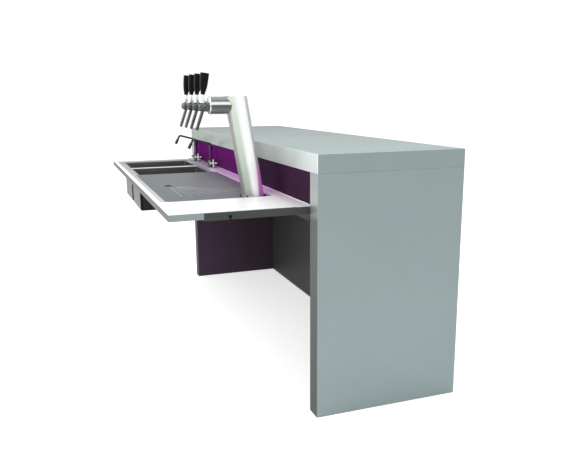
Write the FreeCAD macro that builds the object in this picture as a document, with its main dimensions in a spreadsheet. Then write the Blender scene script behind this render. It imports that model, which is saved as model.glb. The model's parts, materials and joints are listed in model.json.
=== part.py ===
import FreeCAD, Part
import math
import os
import re

import Sketcher

# Stainless steel bar counter with a service worktop, two sink bowls, two deck mixers
# and a leaning beer column that carries four taps.
# +X runs along the counter, -Y is the service side, +Y the customer side, +Z is up.
# The origin is on the floor, in the middle of the whole footprint.

SIZES = {
    # Portal of clad panels
    "counter_length": 2500,
    "slab_clearance": 141,
    "panel_depth": 700,
    "panel_thickness": 80,
    "front_thickness": 84,
    "casing_sheet": 2,
    "fold_radius": 3,
    "core_gap": 0.5,
    "lining_thickness": 4,
    # Worktop
    "worktop_overhang": 594,
    "worktop_height": 929,
    "worktop_edge": 28,
    "worktop_sheet": 2,
    "worktop_rear_reach": 6,
    "end_gap": 0.5,
    "recess_depth": 10,
    "recess_corner": 18,
    "recess_near_margin": 320,
    "recess_far_margin": 73,
    "recess_service_margin": 44,
    "recess_rear_margin": 61,
    # Drip tray in the near part of the recess
    "tray_to_bowl": 27,
    "tray_thickness": 3,
    "tray_gap": 0.5,
    "groove_width": 5,
    "groove_depth": 1.2,
    "groove_start": 60,
    "groove_length": 340,
    "drip_from_end": 972,
    "drip_from_edge": 151,
    "drip_hole_radius": 22,
    "drip_flange_radius": 25,
    "drip_flange": 1.5,
    "drip_wall": 1.5,
    "drip_cup_depth": 7,
    "drip_grate": 2.5,
    "drip_tail_radius": 12.5,
    "drip_tail_length": 62,
    "drip_slot_radius": 2.2,
    "drip_slot_circle": 6.5,
    # Sink bowls and their wastes
    "bowl_far_margin": 178,
    "bowl_land": 54,
    "bowl_from_edge": 289,
    "bowl_length": 360,
    "bowl_width": 430,
    "bowl_depth": 219,
    "bowl_wall": 1.5,
    "bowl_corner": 12,
    "bowl_floor_radius": 8,
    "waste_flange_radius": 45,
    "waste_flange": 2,
    "waste_cup_radius": 40,
    "waste_cup_depth": 30,
    "waste_wall": 3,
    "waste_ledge": 4,
    "waste_ledge_depth": 8,
    "waste_tail_radius": 20,
    "waste_tail_wall": 2,
    "waste_tail_length": 65,
    "fit_gap": 0.4,
    "strainer_thickness": 2,
    "strainer_hole_radius": 2.5,
    "strainer_circle": 25,
    "strainer_knob_radius": 6,
    "strainer_knob_height": 9,
    # Carriers under the worktop
    "beam_width": 40,
    "beam_height": 40,
    "beam_wall": 3,
    "bracket_thickness": 6,
    "bracket_height": 32,
    "bracket_length": 452,
    "bracket_tail": 220,
    "bracket_bolt_spacing": 110,
    "bolt_radius": 4,
    "bolt_length": 40,
    "bolt_head_radius": 6.5,
    "bolt_head": 5,
    "clamp_from_edge": 249,
    "clamp_radius": 2.5,
    "clamp_length": 11,
    "clamp_head_radius": 5.5,
    "clamp_head": 6,
    "bearer_width": 140,
    "mid_bearer_width": 40,
    "mid_bearer_from_bowl": 28,
    "line_hole_radius": 30,
    # Splashback between the worktop and the slab
    "splash_setback": 7,
    "splash_thickness": 6,
    "splash_joint_from_end": 850,
    "splash_foot": 1,
    "rail_sheet": 2,
    "rail_upstand": 33,
    "rail_flange": 22,
    # Deck mixers
    "mixer_from_far_end": 310,
    "mixer_pitch": 462,
    "mixer_from_edge": 561,
    "mixer_base_radius": 20,
    "mixer_base": 5,
    "mixer_neck_radius": 11,
    "mixer_barrel_radius": 14,
    "mixer_barrel_length": 92,
    "mixer_barrel_height": 29,
    "riser_radius": 9,
    "riser_height": 128,
    "shank_radius": 12,
    "shank_length": 32,
    "swivel_radius": 12,
    "swivel_cover": 14,
    "swivel_height": 24,
    "running_gap": 0.05,
    "face_gap": 0.3,
    "spout_radius": 7,
    "spout_bend": 14,
    "spout_start": 136,
    "spout_turn_height": 140,
    "nozzle_reach": 145,
    "nozzle_tip_height": 124,
    "nozzle_radius": 9,
    "nozzle_length": 26,
    "spindle_radius": 4,
    "spindle_length": 14,
    "hub_radius": 8,
    "hub_length": 24,
    "cross_radius": 3.5,
    "cross_half": 18,
    "cross_knob_radius": 4.5,
    "cross_plane": 15,
    # Leaning column with its arm and manifold
    "column_from_end": 490,
    "column_from_edge": 469,
    "column_diameter": 101.6,
    "column_wall": 2,
    "column_height": 456,
    "column_cap": 3,
    "flange_radius": 64,
    "flange_height": 5,
    "nut_circle": 57.8,
    "nut_radius": 4.5,
    "nut_height": 3.5,
    "stud_radius": 3,
    "stud_end": 2,
    "arm_diameter": 76.1,
    "arm_wall": 2,
    "arm_drop": 40,
    "arm_cap": 4,
    "cap_bevel": 1.5,
    "tap_seat_from_edge": 269,
    "manifold_diameter": 48.3,
    "manifold_wall": 2,
    "manifold_boss": 4,
    "manifold_boss_radius": 15,
    "manifold_end": 38,
    "manifold_cap": 3,
    # Beer taps
    "tap_pitch": 127,
    "tap_drop": 7,
    "tap_reach": 32,
    "tap_ball_radius": 18,
    "tap_shank_radius": 9,
    "tap_flange_radius": 14,
    "tap_flange": 4,
    "tap_spout_radius": 7.2,
    "tap_spout_bore": 5,
    "tap_spout_back": 10,
    "tap_spout_length": 107,
    "tap_spout_bore_depth": 70,
    "tap_pin_radius": 3,
    "tap_slot_gap": 0.4,
    "tap_slot_back": 8.5,
    "blade_thickness": 5,
    "blade_radius": 5,
    "collar_radius": 11,
    "collar_base": 18.6,
    "collar_height": 17,
    "ferrule_radius": 8.5,
    "ferrule_tip_radius": 5.5,
    "ferrule_height": 19,
    "handle_height": 95,
    "handle_waist_height": 42,
    "handle_foot_depth": 20,
    "handle_foot_width": 18,
    "handle_waist_depth": 33,
    "handle_waist_width": 25,
    "handle_top_depth": 38,
    "handle_top_width": 27,
    "handle_corner": 6,
    # One length that every cut runs past the solid it cuts
    "overrun": 20,
}

# Angles in degrees
ANGLES = {
    "groove_fan": 50,
    "spout_rise": 15.5,
    "nozzle_lean": 27,
    "column_lean": 9.4,
    "tap_spout_tilt": 19.6,
    "lever_lean": 7.4,
}

GROOVE_COUNT = 8
DRIP_SLOT_COUNT = 6
STRAINER_HOLE_COUNT = 16
TAP_COUNT = 4

# Places and lengths that follow from the sizes above
PLACES = {
    "half_length": "counter_length / 2",
    "service_y": "(worktop_overhang - panel_depth) / 2",
    "edge_y": "service_y - worktop_overhang",
    "customer_y": "service_y + panel_depth",
    "panel_middle_y": "service_y + panel_depth / 2",
    "soffit_z": "worktop_height + slab_clearance",
    "inner_half": "half_length - panel_thickness",
    "skin": "casing_sheet + core_gap",
    "core_depth": "panel_depth - 2 * skin",
    "front_y": "customer_y - front_thickness",
    "front_length": "2 * (inner_half - end_gap)",
    "worktop_length": "2 * (inner_half - end_gap)",
    "worktop_depth": "worktop_overhang + worktop_rear_reach",
    "worktop_middle_y": "edge_y + worktop_depth / 2",
    "lip_z": "worktop_height - worktop_edge",
    "recess_z": "worktop_height - recess_depth",
    "recess_under_z": "recess_z - worktop_sheet",
    "recess_length": "worktop_length - recess_near_margin - recess_far_margin",
    "recess_width": "worktop_depth - recess_service_margin - recess_rear_margin",
    "recess_x": "(recess_far_margin - recess_near_margin) / 2",
    "recess_y": "edge_y + recess_service_margin + recess_width / 2",
    "tray_near_x": "recess_x + recess_length / 2 - tray_gap",
    "tray_width": "recess_width - 2 * tray_gap",
    "tray_far_x": "near_bowl_x + bowl_length / 2 + tray_to_bowl",
    "tray_length": "tray_near_x - tray_far_x",
    "tray_z": "recess_z + tray_thickness",
    "drip_x": "half_length - drip_from_end",
    "drip_y": "edge_y + drip_from_edge",
    "far_bowl_x": "bowl_far_margin + bowl_length / 2 - half_length",
    "near_bowl_x": "far_bowl_x + bowl_length + bowl_land",
    "bowl_y": "edge_y + bowl_from_edge",
    "sink_near_x": "near_bowl_x + bowl_length / 2 - bowl_corner",
    "sink_far_x": "far_bowl_x - bowl_length / 2 + bowl_corner",
    "sink_front_y": "bowl_y - bowl_width / 2",
    "sink_rear_y": "bowl_y + bowl_width / 2",
    "bowl_floor_z": "recess_under_z - bowl_depth + bowl_wall",
    "bracket_z": "worktop_height - worktop_sheet - end_gap - bracket_height",
    "bracket_y": "service_y - bracket_length",
    "beam_y": "service_y",
    "beam_length": "2 * (inner_half - bracket_thickness)",
    "bolt_z": "bracket_z + bracket_height / 2",
    "bolt_y": "service_y + (bracket_tail - bracket_bolt_spacing) / 2",
    "clamp_y": "edge_y + clamp_from_edge",
    "bearer_length": "worktop_depth - 2 * (worktop_sheet + end_gap)",
    "bearer_y": "edge_y + worktop_sheet + end_gap",
    "bearer_height": "recess_under_z - lip_z",
    "mid_bearer_x": "near_bowl_x + bowl_length / 2 + mid_bearer_from_bowl + mid_bearer_width / 2",
    "splash_y": "service_y + splash_setback",
    "splash_z": "worktop_height - splash_foot",
    "splash_height": "soffit_z - end_gap - splash_z",
    "splash_joint_x": "half_length - splash_joint_from_end",
    "rail_y": "splash_y + splash_thickness",
    "rail_length": "beam_length - 2 * end_gap",
    "far_mixer_x": "mixer_from_far_end - half_length",
    "near_mixer_x": "far_mixer_x + mixer_pitch",
    "mixer_y": "edge_y + mixer_from_edge",
    "column_x": "half_length - column_from_end",
    "column_y": "edge_y + column_from_edge",
    "column_radius": "column_diameter / 2",
    "column_foot_z": "recess_z + flange_height",
    "column_top": "column_foot_z + column_height",
    "arm_height": "column_top - arm_drop",
    "tap_height": "arm_height - tap_drop",
    "column_run": "column_height / cos(column_lean) + 2 * overrun",
    "column_travel": "column_height * tan(column_lean)",
    "column_body_top": "column_top - column_cap",
    "nut_offset": "nut_circle / sqrt(2)",
    "arm_root_y": "column_y - (arm_height - column_foot_z) * tan(column_lean)",
    "seat_y": "edge_y + tap_seat_from_edge",
    "arm_length": "arm_root_y - seat_y - arm_cap",
    "manifold_y": "seat_y + manifold_boss + manifold_diameter / 2",
    "manifold_length": "3 * tap_pitch + manifold_end",
    "tap_y": "seat_y - tap_reach",
    "ferrule_z": "collar_base + collar_height",
    "handle_z": "ferrule_z + ferrule_height",
}

doc = FreeCAD.newDocument("BarCounter")
sheet = doc.addObject("Spreadsheet::Sheet", "Sizes")
for row, (alias, size) in enumerate({**SIZES, **ANGLES}.items(), start=1):
    sheet.set(f"A{row}", alias)
    sheet.set(f"B{row}", str(size))
    sheet.setAlias(f"B{row}", alias)
for row, (alias, sum_of_sizes) in enumerate(PLACES.items(), start=1):
    sheet.set(f"C{row}", alias)
    sheet.set(f"D{row}", f"={sum_of_sizes}")
    sheet.setAlias(f"D{row}", alias)
doc.recompute()

X_AXIS = FreeCAD.Vector(1, 0, 0)
Y_AXIS = FreeCAD.Vector(0, 1, 0)
Z_AXIS = FreeCAD.Vector(0, 0, 1)
QUARTER_TURN = 90
HALF_TURN = 180
FULL_TURN = 360
DIRECTION_TOLERANCE = 1e-6
nodes = []


def formula(text):
    """Write a size or a sum of sizes as an expression on the sheet."""
    def cell(match):
        word = match.group()
        return f"Sizes.{word}" if word in {**SIZES, **ANGLES, **PLACES} else word
    return re.sub(r"[a-z_][a-z0-9_]*", cell, text)


def bind(item, **properties):
    """Bind properties to the sheet; a double underscore in a name stands for a dot."""
    for name, text in properties.items():
        item.setExpression(name.replace("__", "."), formula(text))


def place(item, x="0", y="0", z="0"):
    bind(item, Placement__Base__x=x, Placement__Base__y=y, Placement__Base__z=z)


def turn(item, axis, angle):
    """Turn an item about an axis through its own origin, by degrees or by a size of the sheet."""
    is_size = isinstance(angle, str)
    item.Placement = FreeCAD.Placement(FreeCAD.Vector(), FreeCAD.Rotation(axis, 1 if is_size else angle))
    if is_size:
        bind(item, Placement__Rotation__Angle=angle)


def node(item, label):
    """Mark an object as a finished sub-part; its label names its file."""
    item.Label = label
    nodes.append(item)
    return item


def box(length, width, height, x="0", y="0", z="0"):
    solid = doc.addObject("Part::Box", "Box")
    bind(solid, Length=length, Width=width, Height=height)
    place(solid, x, y, z)
    return solid


def cylinder(radius, height, x="0", y="0", z="0", axis=None, angle=0):
    solid = doc.addObject("Part::Cylinder", "Cylinder")
    bind(solid, Radius=radius, Height=height)
    if axis is not None:
        turn(solid, axis, angle)
    place(solid, x, y, z)
    return solid


def along_x(radius, length, x="0", y="0", z="0"):
    return cylinder(radius, length, x, y, z, Y_AXIS, QUARTER_TURN)


def along_y(radius, length, x="0", y="0", z="0"):
    return cylinder(radius, length, x, y, z, X_AXIS, -QUARTER_TURN)


def cone(foot, top, height, x="0", y="0", z="0", axis=None, angle=0):
    solid = doc.addObject("Part::Cone", "Cone")
    bind(solid, Radius1=foot, Radius2=top, Height=height)
    if axis is not None:
        turn(solid, axis, angle)
    place(solid, x, y, z)
    return solid


def ball(radius, x="0", y="0", z="0"):
    solid = doc.addObject("Part::Sphere", "Sphere")
    bind(solid, Radius=radius)
    place(solid, x, y, z)
    return solid


def fuse(*solids):
    joined = doc.addObject("Part::MultiFuse", "Fuse")
    joined.Shapes = list(solids)
    joined.Refine = True
    return joined


def cut(solid, *tools):
    tool = tools[0] if len(tools) == 1 else fuse(*tools)
    result = doc.addObject("Part::Cut", "Cut")
    result.Base = solid
    result.Tool = tool
    return result


def common(first, second):
    result = doc.addObject("Part::MultiCommon", "Common")
    result.Shapes = [first, second]
    return result


def group(*solids):
    """Keep several solids together as one sub-part."""
    compound = doc.addObject("Part::Compound", "Group")
    compound.Links = list(solids)
    return compound


def new_body():
    return doc.addObject("PartDesign::Body", "Body")


def origin_feature(body, role):
    return next(item for item in body.Origin.OriginFeatures if item.Role == role)


def sketch_on(body, role, x="0", y="0", z="0"):
    sketch = body.newObject("Sketcher::SketchObject", "Sketch")
    sketch.AttachmentSupport = [(origin_feature(body, role), "")]
    sketch.MapMode = "FlatFace"
    bind(sketch, AttachmentOffset__Base__x=x, AttachmentOffset__Base__y=y, AttachmentOffset__Base__z=z)
    return sketch


def dimension(sketch, kind, *references, size):
    """Add a sketch dimension whose value comes from the sheet."""
    index = sketch.addConstraint(Sketcher.Constraint(kind, *references, measure(size)))
    sketch.setExpression(f"Constraints[{index}]", formula(size))


def slope(sketch, line, angle):
    """Hold a sketch line at an angle of the sheet from the horizontal."""
    index = sketch.addConstraint(Sketcher.Constraint("Angle", line, math.radians(measure(angle))))
    sketch.setExpression(f"Constraints[{index}]", f"({formula(angle)}) * 1 deg")


def measure(text):
    """Give the present value of a size or of a sum of sizes."""
    return float(sheet.evalExpression(formula(text)))


def rounded_rectangle(sketch, width, height, radius):
    """A rectangle about the sketch's origin, with its four corners rounded."""
    half_w = measure(width) / 2
    half_h = measure(height) / 2
    r = measure(radius)
    corners = [(half_w, -half_h), (half_w, half_h), (-half_w, half_h), (-half_w, -half_h)]
    inward = [(-r, r), (-r, -r), (r, -r), (r, r)]
    centres = [FreeCAD.Vector(cx + dx, cy + dy, 0) for (cx, cy), (dx, dy) in zip(corners, inward)]
    straight = [FreeCAD.Vector(0, -r, 0), FreeCAD.Vector(r, 0, 0), FreeCAD.Vector(0, r, 0),
                FreeCAD.Vector(-r, 0, 0)]
    for side in range(4):
        start = centres[side - 1] + straight[side]
        end = centres[side] + straight[side]
        sketch.addGeometry(Part.LineSegment(start, end))
    quarter = FreeCAD.Units.Quantity(f"{QUARTER_TURN} deg").getValueAs("rad").Value
    for corner, centre in enumerate(centres):
        circle = Part.Circle(centre, Z_AXIS, r)
        sketch.addGeometry(Part.ArcOfCircle(circle, (corner - 1) * quarter, corner * quarter))
    for side in range(4):
        arc = 4 + side
        sketch.addConstraint(Sketcher.Constraint("Tangent", side, 2, arc, 1))
        sketch.addConstraint(Sketcher.Constraint("Tangent", arc, 2, (side + 1) % 4, 1))
        sketch.addConstraint(Sketcher.Constraint("Horizontal" if side % 2 == 0 else "Vertical", side))
    for arc in (5, 6, 7):
        sketch.addConstraint(Sketcher.Constraint("Equal", 4, arc))
    sketch.addConstraint(Sketcher.Constraint("Symmetric", 4, 3, 6, 3, -1, 1))
    dimension(sketch, "Radius", 4, size=radius)
    dimension(sketch, "DistanceX", 3, 1, 1, 1, size=width)
    dimension(sketch, "DistanceY", 0, 1, 2, 1, size=height)


def outline(sketch, points):
    """A closed outline through points, each given by two sizes of the sheet."""
    spots = [FreeCAD.Vector(measure(across), measure(up), 0) for across, up in points]
    count = len(spots)
    sides = [sketch.addGeometry(Part.LineSegment(spots[corner - 1], spots[corner]))
             for corner in range(count)]
    for corner, (across, up) in enumerate(points):
        side, following = sides[corner], sides[(corner + 1) % count]
        sketch.addConstraint(Sketcher.Constraint("Coincident", side, 2, following, 1))
        dimension(sketch, "DistanceX", side, 2, size=across)
        dimension(sketch, "DistanceY", side, 2, size=up)


def circle(sketch, radius, across="0", up="0"):
    centre = FreeCAD.Vector(measure(across), measure(up), 0)
    index = sketch.addGeometry(Part.Circle(centre, Z_AXIS, measure(radius)))
    dimension(sketch, "Radius", index, size=radius)
    dimension(sketch, "DistanceX", index, 3, size=across)
    dimension(sketch, "DistanceY", index, 3, size=up)


def pad(body, sketch, length, midplane=False):
    feature = body.newObject("PartDesign::Pad", "Pad")
    feature.Profile = sketch
    feature.Midplane = midplane
    bind(feature, Length=length)
    doc.recompute()
    return feature


def pocket(body, sketch, depth, upward=False):
    """Cut a sketch down into the body, or upward from a sketch below it."""
    before = body.Shape.Volume
    feature = body.newObject("PartDesign::Pocket", "Pocket")
    feature.Profile = sketch
    feature.Reversed = upward
    bind(feature, Length=depth)
    doc.recompute()
    if body.Shape.Volume >= before:
        raise RuntimeError(f"A pocket in {body.Label} cuts nothing")
    return feature


def revolve(body, sketch):
    """Turn an outline in the XZ plane about the body's Z axis."""
    feature = body.newObject("PartDesign::Revolution", "Revolution")
    feature.Profile = sketch
    feature.ReferenceAxis = (sketch, ["V_Axis"])
    feature.Angle = FULL_TURN
    doc.recompute()
    return feature


def polar(body, feature, count, angle=str(FULL_TURN)):
    pattern = body.newObject("PartDesign::PolarPattern", "Pattern")
    pattern.Originals = [feature]
    pattern.Axis = (origin_feature(body, "Z_Axis"), [""])
    bind(pattern, Angle=angle)
    pattern.Occurrences = count
    body.Tip = pattern
    doc.recompute()
    return pattern


def edges_where(feature, wanted):
    return [f"Edge{number}" for number, edge in enumerate(feature.Shape.Edges, start=1) if wanted(edge)]


def faces_towards(feature, *directions):
    """Names of the flat faces that look along any of the directions."""
    names = []
    for number, face in enumerate(feature.Shape.Faces, start=1):
        if isinstance(face.Surface, Part.Plane):
            normal = face.normalAt(*face.Surface.parameter(face.CenterOfMass))
            if any(normal.isEqual(direction, DIRECTION_TOLERANCE) for direction in directions):
                names.append(f"Face{number}")
    return names


def fillet(body, feature, names, radius):
    rounded = body.newObject("PartDesign::Fillet", "Fillet")
    rounded.Base = (feature, names)
    bind(rounded, Radius=radius)
    doc.recompute()
    return rounded


def hollow(body, feature, open_faces, wall):
    """Leave a wall inside the present faces, open where the named faces were."""
    shell = body.newObject("PartDesign::Thickness", "Thickness")
    shell.Base = (feature, open_faces)
    shell.Mode = "Skin"
    shell.Join = "Intersection"
    shell.Reversed = True
    bind(shell, Value=wall)
    doc.recompute()
    return shell


def is_upright(edge):
    return edge.BoundBox.ZLength > edge.Length - sheet.core_gap


def slab_pieces():
    """The top slab: a steel casing folded down on all four sides over a board core."""
    casing = new_body()
    sketch = sketch_on(casing, "XY_Plane")
    rounded_rectangle(sketch, "counter_length", "panel_depth", "fold_radius")
    block = pad(casing, sketch, "panel_thickness")
    top = block.Shape.BoundBox.ZMax
    rim = edges_where(block, lambda edge: edge.BoundBox.ZMin > top - sheet.core_gap)
    fillet(casing, block, rim, "fold_radius - casing_sheet / 2")
    sketch = sketch_on(casing, "XY_Plane")
    rounded_rectangle(sketch, "counter_length - 2 * casing_sheet", "panel_depth - 2 * casing_sheet",
                      "fold_radius - casing_sheet")
    pocket(casing, sketch, "panel_thickness - casing_sheet", upward=True)
    place(casing, y="panel_middle_y", z="soffit_z")
    node(casing, "slab_casing")
    core = box("counter_length - 2 * skin", "core_depth", "panel_thickness - skin",
               "skin - half_length", "service_y + skin", "soffit_z")
    node(core, "slab_core")


def end_panel(side, name):
    """One end panel: a casing folded round the outer face and both edges, a core and a dark lining."""
    casing = new_body()
    sketch = sketch_on(casing, "XY_Plane")
    outer, inner = "panel_depth / 2", "panel_depth / 2 - casing_sheet"
    face, back = "panel_thickness / 2", "panel_thickness / 2 - casing_sheet"
    open_side = "-panel_thickness / 2"
    outline(sketch, [(open_side, f"-({outer})"), (face, f"-({outer})"), (face, outer), (open_side, outer),
                     (open_side, inner), (back, inner), (back, f"-({inner})"), (open_side, f"-({inner})")])
    block = pad(casing, sketch, "soffit_z")
    reach = block.Shape.BoundBox.XMax
    folds = edges_where(block, lambda edge: is_upright(edge) and edge.BoundBox.XMin > reach - sheet.core_gap)
    fillet(casing, block, folds, "fold_radius")
    turn(casing, Z_AXIS, 0 if side > 0 else HALF_TURN)
    place(casing, f"{side} * (half_length - {face})", "panel_middle_y")
    node(casing, f"{name}_end_casing")
    thickness = "(panel_thickness - skin - lining_thickness)"
    far_core_x = f"-inner_half - lining_thickness - {thickness}"
    core_x = "inner_half + lining_thickness" if side > 0 else far_core_x
    core = box(thickness, "core_depth", "soffit_z", core_x, "service_y + skin")
    node(cut(core, *bolt_shanks(side, "bolt_radius")), f"{name}_end_core")
    lining_x = "inner_half" if side > 0 else "-inner_half - lining_thickness"
    lining = box("lining_thickness", "core_depth", "soffit_z", lining_x, "service_y + skin")
    node(cut(lining, *bolt_shanks(side, "bolt_radius + fit_gap")), f"{name}_end_lining")


def front_pieces():
    """The customer side: a steel sheet, a core and a dark lining that faces the service bay."""
    core_thickness = "front_thickness - lining_thickness - casing_sheet"
    layers = [("front_lining", "front_y", "lining_thickness"),
              ("front_core", "front_y + lining_thickness", core_thickness),
              ("front_casing", "customer_y - casing_sheet", "casing_sheet")]
    for label, y, thickness in layers:
        node(box("front_length", thickness, "soffit_z", "-front_length / 2", y), label)


def splashback():
    """Two panels between worktop and slab, held by a rail on the beam and a rail under the slab."""
    spans = [("purple_splash_panel", "end_gap - inner_half", "splash_joint_x - end_gap / 2"),
             ("dark_splash_panel", "splash_joint_x + end_gap / 2", "inner_half - end_gap")]
    for label, low, high in spans:
        panel = box(f"{high} - ({low})", "splash_thickness", "splash_height", low, "splash_y", "splash_z")
        node(panel, label)
    lower = new_body()
    sketch = sketch_on(lower, "YZ_Plane")
    shelf_top, shelf_low = "splash_z - lip_z", "splash_z - lip_z - rail_sheet"
    outline(sketch, [("0", "0"), ("rail_sheet", "0"), ("rail_sheet", f"{shelf_top} + rail_upstand"),
                     ("0", f"{shelf_top} + rail_upstand"), ("0", shelf_top),
                     ("-splash_thickness", shelf_top), ("-splash_thickness", shelf_low), ("0", shelf_low)])
    pad(lower, sketch, "rail_length", midplane=True)
    place(lower, y="rail_y", z="lip_z")
    node(lower, "lower_splash_rail")
    upper = new_body()
    sketch = sketch_on(upper, "YZ_Plane")
    outline(sketch, [("0", "0"), ("0", "-rail_upstand"), ("rail_sheet", "-rail_upstand"),
                     ("rail_sheet", "-rail_sheet"), ("rail_flange", "-rail_sheet"), ("rail_flange", "0")])
    pad(upper, sketch, "rail_length", midplane=True)
    place(upper, y="rail_y", z="soffit_z")
    node(upper, "upper_splash_rail")


def bolt_place(step):
    return f"bolt_y + {step} * bracket_bolt_spacing"


def bolt_shanks(side, radius):
    """The bolts that hold a bracket, from its inner face through the lining into the end core."""
    start = "inner_half - bracket_thickness" if side > 0 else "bracket_thickness - inner_half - bolt_length"
    return [along_x(radius, "bolt_length", start, bolt_place(step), "bolt_z") for step in range(2)]


def carriers():
    """What holds the worktop: a beam along the rear, a bracket at each end and two bearers."""
    tube = box("beam_length", "beam_width", "beam_height",
               "-beam_length / 2", "beam_y", "lip_z - beam_height")
    bore = box("beam_length + 2 * overrun", "beam_width - 2 * beam_wall", "beam_height - 2 * beam_wall",
               "-beam_length / 2 - overrun", "beam_y + beam_wall", "lip_z - beam_height + beam_wall")
    node(cut(tube, bore), "worktop_beam")
    bolts = []
    screws = []
    for side, name in ((1, "near"), (-1, "far")):
        x = "inner_half - bracket_thickness" if side > 0 else "-inner_half"
        plate = box("bracket_thickness", "bracket_length + bracket_tail", "bracket_height",
                    x, "bracket_y", "bracket_z")
        node(cut(plate, *bolt_shanks(side, "bolt_radius + fit_gap")), f"{name}_bracket")
        head_x = f"{x} - bolt_head" if side > 0 else f"{x} + bracket_thickness"
        for step, shank in enumerate(bolt_shanks(side, "bolt_radius")):
            head = along_x("bolt_head_radius", "bolt_head", head_x, bolt_place(step), "bolt_z")
            bolts.append(fuse(shank, head))
        middle = f"{x} + bracket_thickness / 2"
        rod = cylinder("clamp_radius", "clamp_length", middle, "clamp_y", "bracket_z - clamp_length")
        foot = cylinder("clamp_head_radius", "clamp_head", middle, "clamp_y", "bracket_z - clamp_length")
        screws.append(fuse(rod, foot))
    node(group(*bolts), "bracket_bolts")
    node(group(*screws), "clamp_screws")
    for label, x, width in (("tower_bearer", "column_x", "bearer_width"),
                            ("mid_bearer", "mid_bearer_x", "mid_bearer_width")):
        bar = box(width, "bearer_length", "bearer_height", f"{x} - {width} / 2", "bearer_y", "lip_z")
        if label == "tower_bearer":
            holes = [cylinder("line_hole_radius", "bearer_height + 2 * overrun",
                              "column_x", "column_y", "lip_z - overrun")]
            for across, along in nut_places():
                holes.append(cylinder("stud_radius + fit_gap", "bearer_height + 2 * overrun",
                                      across, along, "lip_z - overrun"))
            bar = cut(bar, *holes)
        node(bar, label)


def nut_places():
    """The four studs of the column's flange."""
    return [(f"column_x + {across} * nut_offset", f"column_y + {along} * nut_offset")
            for across in (1, -1) for along in (1, -1)]


def worktop():
    """The worktop: folded sheet with a shallow recess, two bowl openings and its holes.

    It is welded from two decks, two sink rails and the bar between the bowls, ground flush.
    """
    body = new_body()
    sketch = sketch_on(body, "XY_Plane")
    rounded_rectangle(sketch, "worktop_length", "worktop_depth", "fold_radius")
    block = pad(body, sketch, "worktop_edge")
    top = block.Shape.BoundBox.ZMax
    rim = edges_where(block, lambda edge: edge.BoundBox.ZMin > top - sheet.core_gap)
    fillet(body, block, rim, "fold_radius - worktop_sheet / 2")
    sketch = sketch_on(body, "XY_Plane", "recess_x", "recess_y - worktop_middle_y", "worktop_edge")
    rounded_rectangle(sketch, "recess_length", "recess_width", "recess_corner")
    pocket(body, sketch, "recess_depth")
    inner_length = "worktop_length / 2 - worktop_sheet"
    inner_depth = "worktop_depth / 2 - worktop_sheet"
    sketch = sketch_on(body, "XY_Plane")
    rounded_rectangle(sketch, f"2 * ({inner_length})", f"2 * ({inner_depth})", "fold_radius - worktop_sheet")
    pocket(body, sketch, "recess_under_z - lip_z", upward=True)
    lift = "(recess_y - worktop_middle_y)"
    sketch = sketch_on(body, "XY_Plane", "recess_x", lift)
    rounded_rectangle(sketch, "recess_length + 2 * worktop_sheet", "recess_width + 2 * worktop_sheet",
                      "recess_corner + worktop_sheet")
    near, far = f"{inner_length} - recess_x", f"-({inner_length}) - recess_x"
    rear, front = f"{inner_depth} - {lift}", f"-({inner_depth}) - {lift}"
    outline(sketch, [(near, front), (near, rear), (far, rear), (far, front)])
    pocket(body, sketch, "worktop_edge - worktop_sheet", upward=True)
    for bowl_x in ("near_bowl_x", "far_bowl_x"):
        sketch = sketch_on(body, "XY_Plane", bowl_x, "bowl_y - worktop_middle_y")
        rounded_rectangle(sketch, "bowl_length", "bowl_width", "bowl_corner")
        pocket(body, sketch, "worktop_edge", upward=True)
    holes = [("near_mixer_x", "mixer_y", "shank_radius + fit_gap"),
             ("far_mixer_x", "mixer_y", "shank_radius + fit_gap"),
             ("drip_x", "drip_y", "drip_hole_radius"),
             ("column_x", "column_y", "line_hole_radius")]
    holes += [(across, along, "stud_radius + fit_gap") for across, along in nut_places()]
    sketch = sketch_on(body, "XY_Plane")
    for x, y, radius in holes:
        circle(sketch, radius, x, f"{y} - worktop_middle_y")
    pocket(body, sketch, "worktop_edge", upward=True)
    for side in (1, -1):
        notch_length = "(bracket_length + end_gap + worktop_rear_reach)"
        sketch = sketch_on(body, "XY_Plane", f"{side} * worktop_length / 2",
                           f"(worktop_depth - {notch_length} + overrun) / 2")
        rounded_rectangle(sketch, "2 * bracket_thickness", f"{notch_length} + overrun", "end_gap")
        pocket(body, sketch, "worktop_edge - worktop_sheet - end_gap", upward=True)
    place(body, y="worktop_middle_y", z="lip_z")
    past_end, past_rear = "worktop_length / 2 + overrun", "edge_y + worktop_depth + overrun"
    past_front = "edge_y - overrun"
    spans = [("sink_near_x", past_end, past_front, past_rear),
             (f"-({past_end})", "sink_far_x", past_front, past_rear),
             ("sink_far_x", "sink_near_x", past_front, "sink_front_y"),
             ("sink_far_x", "sink_near_x", "sink_rear_y", past_rear),
             ("sink_far_x", "sink_near_x", "sink_front_y", "sink_rear_y")]
    pieces = [common(body, box(f"{right} - ({left})", f"{back} - ({front})", "worktop_edge + 2 * overrun",
                               left, front, "lip_z - overrun"))
              for left, right, front, back in spans]
    node(group(*pieces), "worktop")


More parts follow.
